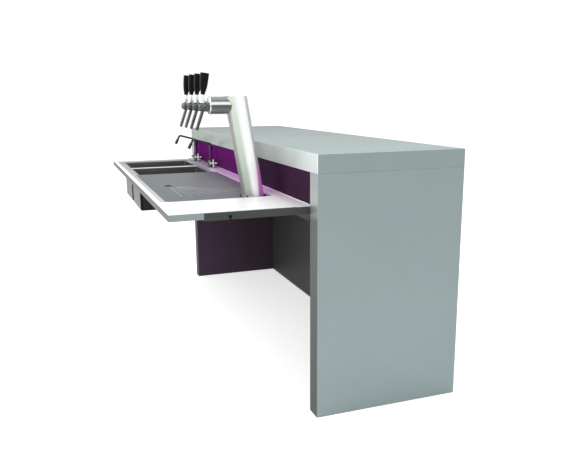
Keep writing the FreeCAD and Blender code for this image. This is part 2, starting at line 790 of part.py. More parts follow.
def drip_tray():
    """The tray under the taps: grooves fan out from its drain."""
    body = new_body()
    sketch = sketch_on(body, "XY_Plane", "tray_near_x - tray_length / 2 - drip_x", "recess_y - drip_y")
    rounded_rectangle(sketch, "tray_length", "tray_width", "recess_corner - tray_gap")
    pad(body, sketch, "tray_thickness")
    sketch = sketch_on(body, "XY_Plane", z="tray_thickness")
    circle(sketch, "drip_hole_radius")
    circle(sketch, "flange_radius + tray_gap", "column_x - drip_x", "column_y - drip_y")
    pocket(body, sketch, "tray_thickness")
    sketch = sketch_on(body, "XY_Plane", "groove_start + groove_length / 2", z="tray_thickness")
    rounded_rectangle(sketch, "groove_length", "groove_width", "groove_width / 3")
    groove = pocket(body, sketch, "groove_depth")
    polar(body, groove, GROOVE_COUNT, "groove_fan")
    place(body, "drip_x", "drip_y", "recess_z")
    node(body, "drip_tray")
    drain = new_body()
    sketch = sketch_on(drain, "XZ_Plane")
    throat, tail = "drip_hole_radius - fit_gap", "drip_tail_radius"
    floor = "-drip_cup_depth - drip_grate"
    foot = "-drip_cup_depth - drip_tail_length"
    outline(sketch, [("0", "-drip_cup_depth"), ("0", floor), (f"{tail} - drip_wall", floor),
                     (f"{tail} - drip_wall", foot), (tail, foot), (tail, f"{floor} - drip_wall"),
                     (throat, f"{floor} - drip_wall"), (throat, "0"), ("drip_flange_radius", "0"),
                     ("drip_flange_radius - drip_flange", "drip_flange"),
                     (f"{throat} - drip_wall", "drip_flange"),
                     (f"{throat} - drip_wall", "-drip_cup_depth")])
    revolve(drain, sketch)
    sketch = sketch_on(drain, "XY_Plane", z="-drip_cup_depth")
    circle(sketch, "drip_slot_radius", "drip_slot_circle")
    slot = pocket(drain, sketch, "drip_grate + end_gap")
    polar(drain, slot, DRIP_SLOT_COUNT)
    place(drain, "drip_x", "drip_y", "tray_z")
    node(drain, "drip_drain")


def sink(name, x):
    """One pressed bowl with its waste and a lift-out strainer."""
    bowl = new_body()
    sketch = sketch_on(bowl, "XY_Plane")
    rounded_rectangle(sketch, "bowl_length + 2 * bowl_wall", "bowl_width + 2 * bowl_wall",
                      "bowl_corner + bowl_wall")
    block = pad(bowl, sketch, "bowl_depth")
    low = edges_where(block, lambda edge: edge.BoundBox.ZMax < sheet.core_gap)
    rounded = fillet(bowl, block, low, "bowl_floor_radius")
    hollow(bowl, rounded, faces_towards(rounded, Z_AXIS), "bowl_wall")
    sketch = sketch_on(bowl, "XY_Plane")
    circle(sketch, "waste_cup_radius + fit_gap")
    pocket(bowl, sketch, "2 * bowl_wall", upward=True)
    place(bowl, x, "bowl_y", "recess_under_z - bowl_depth")
    node(bowl, f"{name}_bowl")
    waste = new_body()
    sketch = sketch_on(waste, "XZ_Plane")
    cup, bore = "waste_cup_radius", "waste_cup_radius - waste_wall"
    ledge = f"{bore} - waste_ledge"
    pipe = "waste_tail_radius - waste_tail_wall"
    foot = "-waste_cup_depth - waste_tail_length"
    inside = "waste_wall - waste_cup_depth"
    outline(sketch, [(pipe, foot), ("waste_tail_radius", foot), ("waste_tail_radius", "-waste_cup_depth"),
                     (cup, "-waste_cup_depth"), (cup, "0"), ("waste_flange_radius", "0"),
                     ("waste_flange_radius - waste_flange", "waste_flange"), (bore, "waste_flange"),
                     (bore, "-waste_ledge_depth"), (ledge, "-waste_ledge_depth"),
                     (ledge, inside), (pipe, inside)])
    revolve(waste, sketch)
    place(waste, x, "bowl_y", "bowl_floor_z")
    node(waste, f"{name}_waste")
    strainer = new_body()
    sketch = sketch_on(strainer, "XZ_Plane")
    outline(sketch, [("0", "0"), (f"{bore} - fit_gap", "0"), (f"{bore} - fit_gap", "strainer_thickness"),
                     ("strainer_knob_radius / 2", "strainer_thickness"),
                     ("strainer_knob_radius", "strainer_knob_height"), ("0", "strainer_knob_height")])
    revolve(strainer, sketch)
    sketch = sketch_on(strainer, "XY_Plane", z="strainer_thickness")
    circle(sketch, "strainer_hole_radius", "strainer_circle")
    hole = pocket(strainer, sketch, "strainer_thickness")
    polar(strainer, hole, STRAINER_HOLE_COUNT)
    place(strainer, x, "bowl_y", "bowl_floor_z - waste_ledge_depth + face_gap")
    node(strainer, f"{name}_strainer")


def mixer(name, x):
    """A deck mixer: a fixed body, a swivelling spout and a cross handle at each end of the barrel."""
    neck = cone("mixer_base_radius - mixer_base / 2", "mixer_neck_radius", "mixer_barrel_height",
                z="mixer_base")
    body = fuse(cylinder("mixer_base_radius", "mixer_base"), neck,
                along_x("mixer_barrel_radius", "mixer_barrel_length", "-mixer_barrel_length / 2",
                        z="mixer_barrel_height"),
                cylinder("riser_radius", "riser_height"),
                cylinder("shank_radius", "shank_length + mixer_base", z="-shank_length"))
    bore = along_x("spindle_radius + running_gap", "mixer_barrel_length + 2 * overrun",
                   "-mixer_barrel_length / 2 - overrun", z="mixer_barrel_height")
    body = cut(body, bore)
    place(body, x, "mixer_y", "worktop_height")
    node(body, f"{name}_mixer_body")
    tube = new_body()
    path = sketch_on(tube, "YZ_Plane")
    spout_path(path)
    ring = sketch_on(tube, "XY_Plane", z="spout_start")
    circle(ring, "spout_radius")
    pipe = tube.newObject("PartDesign::AdditivePipe", "Pipe")
    pipe.Profile = ring
    pipe.Spine = path
    doc.recompute()
    sleeve = cylinder("swivel_radius", "swivel_height", z="riser_height - swivel_cover")
    nozzle = cylinder("nozzle_radius", "nozzle_length", y="nozzle_reach", z="nozzle_tip_height",
                      axis=X_AXIS, angle="nozzle_lean")
    socket = cylinder("riser_radius + running_gap", "swivel_cover + face_gap + overrun",
                      z="riser_height - swivel_cover - overrun")
    spout = cut(fuse(tube, sleeve, nozzle), socket)
    turn(spout, Z_AXIS, HALF_TURN)
    place(spout, x, "mixer_y", "worktop_height")
    node(spout, f"{name}_mixer_spout")
    for side, end in ((1, "near"), (-1, "far")):
        handle = cross_handle()
        turn(handle, Z_AXIS, 0 if side > 0 else HALF_TURN)
        place(handle, f"{x} + {side} * mixer_barrel_length / 2", "mixer_y",
              "worktop_height + mixer_barrel_height")
        node(handle, f"{name}_mixer_{end}_handle")


def spout_path(sketch):
    """Up out of the swivel, round into a rising run, and round again down to the nozzle."""
    bend = sheet.spout_bend
    rise = FreeCAD.Rotation(Z_AXIS, sheet.spout_rise).multVec(X_AXIS)
    fall = FreeCAD.Rotation(Z_AXIS, sheet.nozzle_lean - QUARTER_TURN).multVec(X_AXIS)
    foot = FreeCAD.Vector(0, sheet.spout_start, 0)
    tip = FreeCAD.Vector(sheet.nozzle_reach, sheet.nozzle_tip_height, 0)
    first = FreeCAD.Vector(bend, sheet.spout_turn_height, 0)
    gap = tip + fall.cross(Z_AXIS) * bend - first
    second = first + rise * (gap.cross(fall).z / rise.cross(fall).z)
    half = math.radians(HALF_TURN)
    top = math.radians(QUARTER_TURN + sheet.spout_rise)
    lower = Part.ArcOfCircle(Part.Circle(first, Z_AXIS, bend), top, half)
    upper = Part.ArcOfCircle(Part.Circle(second, Z_AXIS, bend), math.radians(sheet.nozzle_lean), top)
    sketch.addGeometry(Part.LineSegment(foot, lower.EndPoint))
    sketch.addGeometry(lower)
    sketch.addGeometry(Part.LineSegment(lower.StartPoint, upper.EndPoint))
    sketch.addGeometry(upper)
    sketch.addGeometry(Part.LineSegment(upper.StartPoint, tip))
    for line, line_end, arc, arc_end in ((0, 2, 1, 2), (2, 1, 1, 1), (2, 2, 3, 2), (4, 1, 3, 1)):
        sketch.addConstraint(Sketcher.Constraint("Tangent", line, line_end, arc, arc_end))
    sketch.addConstraint(Sketcher.Constraint("PointOnObject", 0, 1, -2))
    sketch.addConstraint(Sketcher.Constraint("Vertical", 0))
    dimension(sketch, "DistanceY", 0, 1, size="spout_start")
    dimension(sketch, "DistanceY", 0, 2, size="spout_turn_height")
    dimension(sketch, "Radius", 1, size="spout_bend")
    dimension(sketch, "Radius", 3, size="spout_bend")
    dimension(sketch, "DistanceX", 4, 2, size="nozzle_reach")
    dimension(sketch, "DistanceY", 4, 2, size="nozzle_tip_height")
    slope(sketch, 2, "spout_rise")
    slope(sketch, 4, f"nozzle_lean - {QUARTER_TURN}")


def cross_handle():
    """A mixer handle along +X: a spindle for the barrel's bore, a hub and four arms with round ends."""
    pieces = [along_x("spindle_radius", "spindle_length + hub_length", "-spindle_length"),
              along_x("hub_radius", "hub_length - face_gap", "face_gap")]
    for direction in (1, -1):
        end = f"{direction} * cross_half"
        pieces.append(ball("cross_knob_radius", "cross_plane", end))
        pieces.append(ball("cross_knob_radius", "cross_plane", z=end))
    pieces.append(along_y("cross_radius", "2 * cross_half", "cross_plane", "-cross_half"))
    pieces.append(cylinder("cross_radius", "2 * cross_half", "cross_plane", z="-cross_half"))
    return fuse(*pieces)


def leaning_cylinder(radius):
    """A cylinder on the column's leaning axis that runs past both its ends."""
    return cylinder(radius, "column_run", "column_x", "column_y + overrun * sin(column_lean)",
                    "column_foot_z - overrun * cos(column_lean)", X_AXIS, "column_lean")


def level_slice(solid, low, height):
    """The stretch of a leaning solid between two level planes."""
    room = box("2 * column_diameter", "column_travel + 2 * column_diameter", height,
               "column_x - column_diameter", "column_y - column_travel - column_diameter", low)
    return common(solid, room)


def arm_cylinder(radius):
    """A cylinder on the arm's axis, from the column's axis out to the arm's cap."""
    return along_y(radius, "arm_length", "column_x", "seat_y + arm_cap", "arm_height")


def manifold_cylinder(radius):
    """A cylinder on the manifold's axis, from the arm's axis to the manifold's far end."""
    return along_x(radius, "manifold_length", "column_x - manifold_length", "manifold_y", "tap_height")


def end_cap(radius, thickness, x, y, z, axis, angle):
    """A disc that closes a tube, turned from +Z so that its bevelled face looks away from the tube."""
    cap = new_body()
    sketch = sketch_on(cap, "XZ_Plane")
    outline(sketch, [("0", "0"), (f"{radius} - cap_bevel", "0"), (radius, "cap_bevel"),
                     (radius, thickness), ("0", thickness)])
    revolve(cap, sketch)
    turn(cap, axis, angle)
    place(cap, x, y, z)
    return cap


def column_foot():
    """The column's flange and the studs and nuts that hold it to the worktop and the bearer below."""
    flange = cylinder("flange_radius", "flange_height", "column_x", "column_y", "recess_z")
    holes = [cylinder("line_hole_radius", "flange_height + 2 * overrun",
                      "column_x", "column_y", "recess_z - overrun")]
    studs = []
    for across, along in nut_places():
        holes.append(cylinder("stud_radius + fit_gap", "flange_height + 2 * overrun",
                              across, along, "recess_z - overrun"))
        stud = cylinder("stud_radius", "column_foot_z - lip_z + nut_height + stud_end",
                        across, along, "lip_z")
        nut = doc.addObject("Part::Prism", "Nut")
        bind(nut, Circumradius="nut_radius", Height="nut_height")
        place(nut, across, along, "column_foot_z")
        studs.append(fuse(stud, nut))
    node(cut(flange, *holes), "tower_flange")
    node(group(*studs), "tower_nuts")


def column_pieces():
    """The leaning column, its arm towards the service side and the manifold along the counter."""
    wall = cut(leaning_cylinder("column_radius"), leaning_cylinder("column_radius - column_wall"))
    tube = level_slice(wall, "column_foot_z", "column_body_top - column_foot_z")
    node(cut(tube, arm_cylinder("arm_diameter / 2 - arm_wall")), "column")
    node(level_slice(leaning_cylinder("column_radius"), "column_body_top", "column_cap"), "column_cap")
    wall = cut(arm_cylinder("arm_diameter / 2"), arm_cylinder("arm_diameter / 2 - arm_wall"))
    bore = manifold_cylinder("manifold_diameter / 2 - manifold_wall")
    node(cut(wall, leaning_cylinder("column_radius"), bore), "arm")
    node(end_cap("arm_diameter / 2", "arm_cap", "column_x", "seat_y", "arm_height",
                 X_AXIS, -QUARTER_TURN), "arm_cap")
    bosses = []
    for number in range(1, TAP_COUNT):
        bosses.append(along_y("manifold_boss_radius", "manifold_y - seat_y",
                              f"column_x - {number} * tap_pitch", "seat_y", "tap_height"))
    rail = fuse(manifold_cylinder("manifold_diameter / 2"), *bosses)
    bore = manifold_cylinder("manifold_diameter / 2 - manifold_wall")
    node(cut(rail, bore, arm_cylinder("arm_diameter / 2")), "manifold")
    node(end_cap("manifold_diameter / 2", "manifold_cap", "column_x - manifold_length - manifold_cap",
                 "manifold_y", "tap_height", Y_AXIS, QUARTER_TURN), "manifold_cap")


def tap(number):
    """One beer tap: a ball body with its spout, a lever on the cross pin and a black handle."""
    x = f"column_x - {number - 1} * tap_pitch"
    down = f"{HALF_TURN} - tap_spout_tilt"
    spout = cylinder("tap_spout_radius", "tap_spout_length", y="tap_spout_back", axis=X_AXIS, angle=down)
    dry = "(tap_spout_length - tap_spout_bore_depth)"
    bore = cylinder("tap_spout_bore", "tap_spout_bore_depth + overrun",
                    y=f"tap_spout_back - {dry} * sin(tap_spout_tilt)", z=f"-{dry} * cos(tap_spout_tilt)",
                    axis=X_AXIS, angle=down)
    solid = fuse(ball("tap_ball_radius"), along_y("tap_shank_radius", "tap_reach"), spout,
                 along_y("tap_flange_radius", "tap_flange", y="tap_reach - tap_flange"))
    slot_width = "(blade_thickness + 2 * tap_slot_gap)"
    slot = box(slot_width, "tap_ball_radius + overrun + tap_slot_back",
               "tap_ball_radius + overrun + blade_radius + tap_slot_gap",
               f"-{slot_width} / 2", "-tap_ball_radius - overrun", "-blade_radius - tap_slot_gap")
    pin = along_x("tap_pin_radius", "tap_ball_radius", "-tap_ball_radius / 2")
    body = fuse(cut(solid, bore, slot), pin)
    place(body, x, "tap_y", "tap_height")
    node(body, f"tap_body_{number}")
    blade = fuse(box("blade_thickness", "2 * blade_radius", "collar_base + collar_height / 2",
                     "-blade_thickness / 2", "-blade_radius"),
                 along_x("blade_radius", "blade_thickness", "-blade_thickness / 2"),
                 cylinder("collar_radius", "collar_height", z="collar_base"),
                 cone("ferrule_radius", "ferrule_tip_radius", "ferrule_height", z="ferrule_z"))
    eye = along_x("tap_pin_radius + running_gap", "blade_thickness + 2 * overrun",
                  "-blade_thickness / 2 - overrun")
    lever = cut(blade, eye)
    turn(lever, X_AXIS, "-lever_lean")
    place(lever, x, "tap_y", "tap_height")
    node(lever, f"tap_lever_{number}")
    handle = tap_handle()
    turn(handle, X_AXIS, "-lever_lean")
    place(handle, x, "tap_y + handle_z * sin(lever_lean)", "tap_height + handle_z * cos(lever_lean)")
    node(handle, f"tap_handle_{number}")


def tap_handle():
    """A handle that swells from its ferrule to a flat top, lofted through three sections."""
    handle = new_body()
    sections = []
    for width, depth, height in (("handle_foot_width", "handle_foot_depth", "0"),
                                 ("handle_waist_width", "handle_waist_depth", "handle_waist_height"),
                                 ("handle_top_width", "handle_top_depth", "handle_height")):
        sketch = sketch_on(handle, "XY_Plane", z=height)
        rounded_rectangle(sketch, width, depth, "handle_corner")
        sections.append(sketch)
    loft = handle.newObject("PartDesign::AdditiveLoft", "Loft")
    loft.Profile = sections[0]
    loft.Sections = sections[1:]
    doc.recompute()
    return handle


slab_pieces()
end_panel(1, "near")
end_panel(-1, "far")
front_pieces()
splashback()
carriers()
worktop()
drip_tray()
for bowl_name, bowl_x in (("near", "near_bowl_x"), ("far", "far_bowl_x")):
    sink(bowl_name, bowl_x)
for mixer_name, mixer_x in (("near", "near_mixer_x"), ("far", "far_mixer_x")):
    mixer(mixer_name, mixer_x)
column_foot()
column_pieces()
for tap_number in range(1, TAP_COUNT + 1):
    tap(tap_number)
doc.recompute()

for item in doc.Objects:
    if "Invalid" in item.State or "Error" in item.State:
        raise RuntimeError(f"{item.Label} ({item.Name}) is {item.State}")
os.makedirs("parts", exist_ok=True)
for item in nodes:
    if item.Shape.isNull() or not item.Shape.isValid():
        raise RuntimeError(f"{item.Label} has no valid shape")
    item.Shape.exportStep(f"parts/{item.Label}.step")
    print(item.Label, len(item.Shape.Solids), item.Shape.BoundBox)
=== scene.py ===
import json
import math

import bmesh
import bpy
from mathutils import Matrix, Vector


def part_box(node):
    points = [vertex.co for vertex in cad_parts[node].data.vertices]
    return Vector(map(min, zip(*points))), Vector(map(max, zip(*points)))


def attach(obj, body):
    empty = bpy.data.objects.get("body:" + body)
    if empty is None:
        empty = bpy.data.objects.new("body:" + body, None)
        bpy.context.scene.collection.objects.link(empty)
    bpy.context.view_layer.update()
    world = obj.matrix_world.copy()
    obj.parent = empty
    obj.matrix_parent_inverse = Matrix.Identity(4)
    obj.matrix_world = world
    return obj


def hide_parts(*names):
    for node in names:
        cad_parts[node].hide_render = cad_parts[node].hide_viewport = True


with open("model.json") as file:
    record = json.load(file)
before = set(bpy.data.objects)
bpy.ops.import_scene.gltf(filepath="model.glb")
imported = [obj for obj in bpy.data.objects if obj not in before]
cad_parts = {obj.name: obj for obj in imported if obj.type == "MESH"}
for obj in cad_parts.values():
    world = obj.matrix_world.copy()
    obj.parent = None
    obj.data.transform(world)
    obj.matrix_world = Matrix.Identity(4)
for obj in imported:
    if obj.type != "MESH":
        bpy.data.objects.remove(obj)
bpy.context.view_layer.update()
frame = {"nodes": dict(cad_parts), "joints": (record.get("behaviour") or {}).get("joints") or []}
nodes = frame["nodes"]
joints = {joint["name"]: joint for joint in frame["joints"]}

# The photograph's width in pixels and the camera that was fitted to the counter's corners
PHOTO_WIDTH = 580
FOCAL_PIXELS = 638.56
SENSOR = 36.0
CAMERA_PLACE = Vector((3.6202, -1.0390, 1.3780))
CAMERA_RIGHT = Vector((0.34445, 0.93881, -0.00616))
CAMERA_UP = Vector((-0.19450, 0.07778, 0.97783))
CAMERA_FORWARD = Vector((-0.91844, 0.33560, -0.20938))

# Places read from the frame
SLAB_LOW, SLAB_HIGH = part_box("slab_casing")
WORKTOP_LOW, WORKTOP_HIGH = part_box("worktop")
LINING_LOW, LINING_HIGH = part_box("front_lining")
NEAR_LINING_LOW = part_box("near_end_lining")[0]
SPLASH_LOW, SPLASH_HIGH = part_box("purple_splash_panel")
FLANGE_LOW, FLANGE_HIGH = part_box("tower_flange")
ARM_LOW, ARM_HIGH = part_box("arm")
TRAY_LOW, TRAY_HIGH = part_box("drip_tray")
BOWL_LOW, BOWL_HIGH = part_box("near_bowl")
FAR_BOWL_LOW, FAR_BOWL_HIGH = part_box("far_bowl")
SOFFIT = SLAB_LOW[2]
RECESS_Z = FLANGE_LOW[2]
COLUMN_X = (FLANGE_LOW[0] + FLANGE_HIGH[0]) / 2
COLUMN_Y = (FLANGE_LOW[1] + FLANGE_HIGH[1]) / 2
COLUMN_FOOT = FLANGE_HIGH[2]
COLUMN_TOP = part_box("column")[1][2]
ARM_RADIUS = (ARM_HIGH[0] - ARM_LOW[0]) / 2
ARM_AXIS_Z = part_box("arm_cap")[0][2] + ARM_RADIUS

# Sizes that the frame's boxes don't give
COLUMN_RADIUS = 0.0508
COLUMN_LEAN = math.radians(9.4)
LEVER_LEAN = math.radians(7.4)
BOWL_CORNER = 0.0135
GROOVE_DEPTH = 0.0012
TAPS = (1, 2, 3, 4)
MIXERS = ("near", "far")
QUARTER_TURN = math.pi / 2

# Depth of the fine relief in every finish
BUMP_DEPTH = 0.0005


class Shade:
    """A socket of a material's node tree that works in Python sums."""

    def __init__(self, tree, socket):
        self.tree = tree
        self.socket = socket

    def node(self, kind, settings=None, inputs=None, output=0):
        """Add a node: its settings first, then the values or links of its sockets."""
        made = self.tree.nodes.new(kind)
        for name, value in (settings or {}).items():
            if name == "stops":
                ramp = made.color_ramp.elements
                while len(ramp) < len(value):
                    ramp.new(1)
                for stop, (place, colour) in zip(ramp, value):
                    stop.position = place
                    stop.color = (*colour, 1)
            else:
                setattr(made, name, value)
        for name, value in (inputs or {}).items():
            if isinstance(value, Shade):
                self.tree.links.new(value.socket, made.inputs[name])
            else:
                made.inputs[name].default_value = value
        return Shade(self.tree, made.outputs[output])

    def maths(self, operation, first, second=0.0):
        """One sum of two values."""
        return self.node("ShaderNodeMath", {"operation": operation}, {0: first, 1: second})

    def __add__(self, other):
        return self.maths("ADD", self, other)

    __radd__ = __add__

    def __sub__(self, other):
        return self.maths("SUBTRACT", self, other)

    def __rsub__(self, other):
        return self.maths("SUBTRACT", other, self)

    def __mul__(self, other):
        return self.maths("MULTIPLY", self, other)

    __rmul__ = __mul__

    def __truediv__(self, other):
        return self.maths("DIVIDE", self, other)

    def __rtruediv__(self, other):
        return self.maths("DIVIDE", other, self)

    def __abs__(self):
        return self.maths("ABSOLUTE", self)

    def between(self, low, high):
        """Zero at low, one at high, straight in between."""
        return self.node("ShaderNodeMapRange", {"clamp": True},
                         {"Value": self, "From Min": low, "From Max": high}, "Result")

    def swing(self):
        """A noise from zero to one, as a swing about zero."""
        return self - 0.5

    def mix(self, first, second):
        """A colour that goes from first to second with this value."""
        return self.node("ShaderNodeMix", {"data_type": "RGBA"},
                         {0: self, 6: colour_input(first), 7: colour_input(second)}, 2)

    def times(self, colour):
        """This colour, multiplied by another."""
        return self.node("ShaderNodeMix", {"data_type": "RGBA", "blend_type": "MULTIPLY", "clamp_result": True},
                         {0: 1.0, 6: colour_input(colour), 7: self}, 2)

    def noise(self, scale, detail=2.0, rough=0.5):
        """Noise on these coordinates, from zero to one."""
        return self.node("ShaderNodeTexNoise", {}, {"Vector": self, "Scale": scale, "Detail": detail,
                                                    "Roughness": rough}, "Fac")

    def stretched(self, scale):
        """These coordinates, scaled along each axis."""
        return self.node("ShaderNodeMapping", {}, {"Vector": self, "Scale": scale})

    def lines(self, along, across, length, detail=2.0, rough=0.5):
        """Fine lines along an axis: noise with one scale across them and another for their length."""
        return self.stretched([length if axis == along else across for axis in "XYZ"]).noise(1.0, detail, rough)

    def bump(self, strength):
        """The normal of a surface with this height."""
        return self.node("ShaderNodeBump", {}, {"Height": self, "Strength": strength, "Distance": BUMP_DEPTH},
                         "Normal")

    def axes(self):
        """These coordinates one by one, under the names of their axes."""
        split = self.tree.nodes.new("ShaderNodeSeparateXYZ")
        self.tree.links.new(self.socket, split.inputs[0])
        return {axis: Shade(self.tree, output) for axis, output in zip("XYZ", split.outputs)}


def colour_input(colour):
    """A colour as a socket takes it: a link, or numbers with an alpha."""
    return colour if isinstance(colour, Shade) else (*colour, 1)


def new_material(name):
    """A material with a Principled shader; gives the material, its shader and Object coordinates."""
    material = bpy.data.materials.new(name)
    material.use_nodes = True
    tree = material.node_tree
    shader = tree.nodes["Principled BSDF"]
    coords = Shade(tree, tree.nodes.new("ShaderNodeTexCoord").outputs["Object"])
    return material, shader, coords


def feed(shader, **inputs):
    """Set or link the shader's sockets; a double underscore stands for a space."""
    for name, value in inputs.items():
        socket = shader.inputs[name.replace("__", " ")]
        if isinstance(value, Shade):
            value.tree.links.new(value.socket, socket)
        else:
            socket.default_value = value


# Widths over which tones change, in metres
SEAM = 0.0007
FACE = 0.0007
RECESS_FACE = 0.0012
TRAY_FACE = 0.0003
SHARP = 0.002
SOFT = 0.06
SHADE_SOFT = 0.25
TONE_STEP = 0.006
SKIN_OUTSIDE, SKIN_INSIDE = 0.003, 0.001

# Shares of a bowl's corner: the square of the reach at which its outer skin begins, and where its side begins
SKIN_REACH_SQUARED = (0.84, 0.90)
SKIN_SIDE = (0.1, 0.3)

# Shares and scales of the steel's wear and streaks; on the slab the streaks also paint sheen bands
STREAK_STRETCH = (5.5, 0.2, 0.2)
SEAM_STRENGTH = 0.4
SEAM_TONE = (0.16, 0.18, 0.18)
WORN_DARK, WORN_LIGHT = (0.88, 0.88, 0.88), (1.10, 1.10, 1.10)
FACE_FADE = 1.5
SEAM_FADE = 2.0

# The column's painted light: a wedge of painted panel reflection leans over the tube's width, the tube is painted
# paler upwards, and a painted highlight band beside the wedge shines by emission
WEDGE_LEAN = 0.40
WEDGE_EDGE = (0.20, 0.30)
WEDGE_FADE = (SOFFIT + 0.02, SOFFIT - 0.03)
PALER_FROM = SOFFIT - 0.05
PALE, PALER = (1.0, 1.0, 1.0), (1.5, 1.5, 1.5)
SHINE_NEAR, SHINE_FAR = (-0.25, -0.05), (0.62, 0.40)
SHINE = (0.19, 0.21, 0.20)
UNLIT = (0, 0, 0)

ALONG = ("X", SLAB_LOW[0], SLAB_HIGH[0])
UP_TO_WORKTOP = ("Z", WORKTOP_HIGH[2] - 0.06, WORKTOP_HIGH[2] + 0.02)
ACROSS_TRAY = ("Y", TRAY_LOW[1], TRAY_HIGH[1])
UP_BOWL = ("Z", BOWL_LOW[2], BOWL_HIGH[2])


def face(axis, place, first, last=None, way=ALONG, reach=FACE):
    """A flat face at a place on an axis, whose tone goes from first to last along a way."""
    return axis, place, reach, way, first, last or first


def patch(ranges, first, last=None, soft=SHARP):
    """A part of the surface within ranges on its axes, whose tone goes from first to last along X."""
    return ranges, soft, first, last or first


def side_skin(axes, low, high):
    """One on the outer skin of a bowl's two X sides and their corners, where painted shade goes; zero on its front
    and inside it.
    """
    past = []
    for step, axis in enumerate("XY"):
        middle = (low[step] + high[step]) / 2
        flat = (high[step] - low[step]) / 2 - BOWL_CORNER
        past.append((abs(axes[axis] - middle) - flat).between(0.0, BOWL_CORNER))
    square = past[0] * past[0] + past[1] * past[1]
    own = axes["X"].between(low[0] - SKIN_OUTSIDE, low[0] - SKIN_INSIDE)
    own = own * axes["X"].between(high[0] + SKIN_OUTSIDE, high[0] + SKIN_INSIDE)
    return own * square.between(*SKIN_REACH_SQUARED) * past[0].between(*SKIN_SIDE)


def brushed_steel(name, colour, along, roughness, metal=1.0, edge=1.0, streak=0.25, faces=(), patches=(),
                  skins=(), seam=None):
    """Satin sheet: fine brushing along one axis, slow clouds, upright streaks and handling marks.

    Faces, patches and the side skins of bowls take tones of painted light, shade and reflection, and a seam
    darkens at a height.
    """
    material, shader, coords = new_material(name)
    axes = coords.axes()
    brushing = coords.lines(along, across=900.0, length=9.0, detail=3.0, rough=0.6)
    clouds = coords.noise(scale=2.3, detail=3.0)
    marks = coords.noise(scale=19.0, detail=4.0, rough=0.65).between(0.56, 0.72)
    streaks = coords.stretched(STREAK_STRETCH).noise(scale=1.0)
    tone = colour
    for axis, place, reach, (way, start, stop), first, last in faces:
        own = axes[way].between(start, stop).mix(first, last)
        tone = abs(axes[axis] - place).between(reach * FACE_FADE, reach).mix(tone, own)
    for ranges, soft, first, last in patches:
        inside = 1.0
        for axis, (low, high) in ranges.items():
            fade = soft if axis == "X" else SHARP
            inside = axes[axis].between(low, low + fade) * inside
            inside = axes[axis].between(high, high - fade) * inside
        tone = inside.mix(tone, axes["X"].between(*ranges["X"]).mix(first, last))
    for low, high, skin in skins:
        tone = side_skin(axes, low, high).mix(tone, skin)
    if seam is not None:
        line = abs(axes["Z"] - seam).between(SEAM * SEAM_FADE, SEAM)
        tone = (line * SEAM_STRENGTH).mix(tone, SEAM_TONE)
    # Brushing, clouds and streaks are wear; the slab's stronger streaks also paint sheen bands
    wear_and_sheen = brushing.swing() * 0.5 + clouds.swing() * 0.3 + streaks.swing() * streak + 0.5
    worn = wear_and_sheen.between(0.2, 0.8).mix(WORN_DARK, WORN_LIGHT)
    feed(shader, Base__Color=worn.times(tone), Metallic=metal, Specular__Tint=(edge, edge, edge, 1),
         Roughness=brushing.swing() * 0.12 + marks * 0.06 + roughness, Normal=brushing.bump(0.02))
    return material


def gloss_panel(name, upper, lower):
    """A glossy coloured splash panel, darker towards its foot, with a faint orange peel."""
    material, shader, coords = new_material(name)
    clouds = coords.noise(scale=3.0, detail=3.0)
    height = coords.axes()["Z"].between(SPLASH_LOW[2], SPLASH_HIGH[2]) + clouds.swing() * 0.35
    peel = coords.noise(scale=420.0, detail=1.0)
    feed(shader, Base__Color=height.between(0.0, 1.0).mix(lower, upper), Roughness=clouds * 0.1 + 0.22,
         Metallic=0.6, Specular__IOR__Level=0.0, Specular__Tint=(0.30, 0.03, 0.32, 1), Normal=peel.bump(0.05))
    return material


def dark_finish(name, colour, worn, roughness, grain=260.0, gloss=0.4, painted_light=None):
    """Dark paint, lining or moulding: fine grain, slow tone changes and a little rubbed dust.

    Painted light may come in along an axis, from a start to a stop.
    """
    material, shader, coords = new_material(name)
    speckle = coords.noise(scale=grain)
    clouds = coords.noise(scale=3.5, detail=4.0, rough=0.6).between(0.35, 0.75)
    rub = coords.noise(scale=33.0, detail=5.0, rough=0.7).between(0.58, 0.78)
    colour = (rub * 0.5 + clouds * 0.5).mix(colour, worn)
    if painted_light:
        shade, axis, start, stop = painted_light
        colour = coords.axes()[axis].between(start, stop).mix(colour, shade)
    feed(shader, Base__Color=colour, Roughness=speckle * 0.14 + roughness, Specular__IOR__Level=gloss,
         Normal=speckle.bump(0.12))
    return material


def polished_metal(name, dark, light, roughness, along="Z", metal=1.0, edge=1.0, above=None):
    """Bright tube or casting: faint polishing lines, water haze and small tone changes.

    Above a height it may take other tones: on the mixers, a painted reflection of the purple panel.
    """
    material, shader, coords = new_material(name)
    lines = coords.lines(along, across=340.0, length=12.0)
    haze = coords.noise(scale=26.0, detail=4.0, rough=0.6).between(0.5, 0.75)
    tone = (lines.swing() * 0.4 + coords.noise(scale=6.0)).between(0.25, 0.75)
    colour = tone.mix(dark, light)
    if above:
        height, dark_above, light_above = above
        upper = coords.axes()["Z"].between(height, height + TONE_STEP)
        colour = upper.mix(colour, tone.mix(dark_above, light_above))
    feed(shader, Base__Color=colour, Metallic=metal, Specular__Tint=(edge, edge, edge, 1),
         Roughness=haze * 0.04 + lines * 0.04 + roughness, Normal=lines.bump(0.03))
    return material


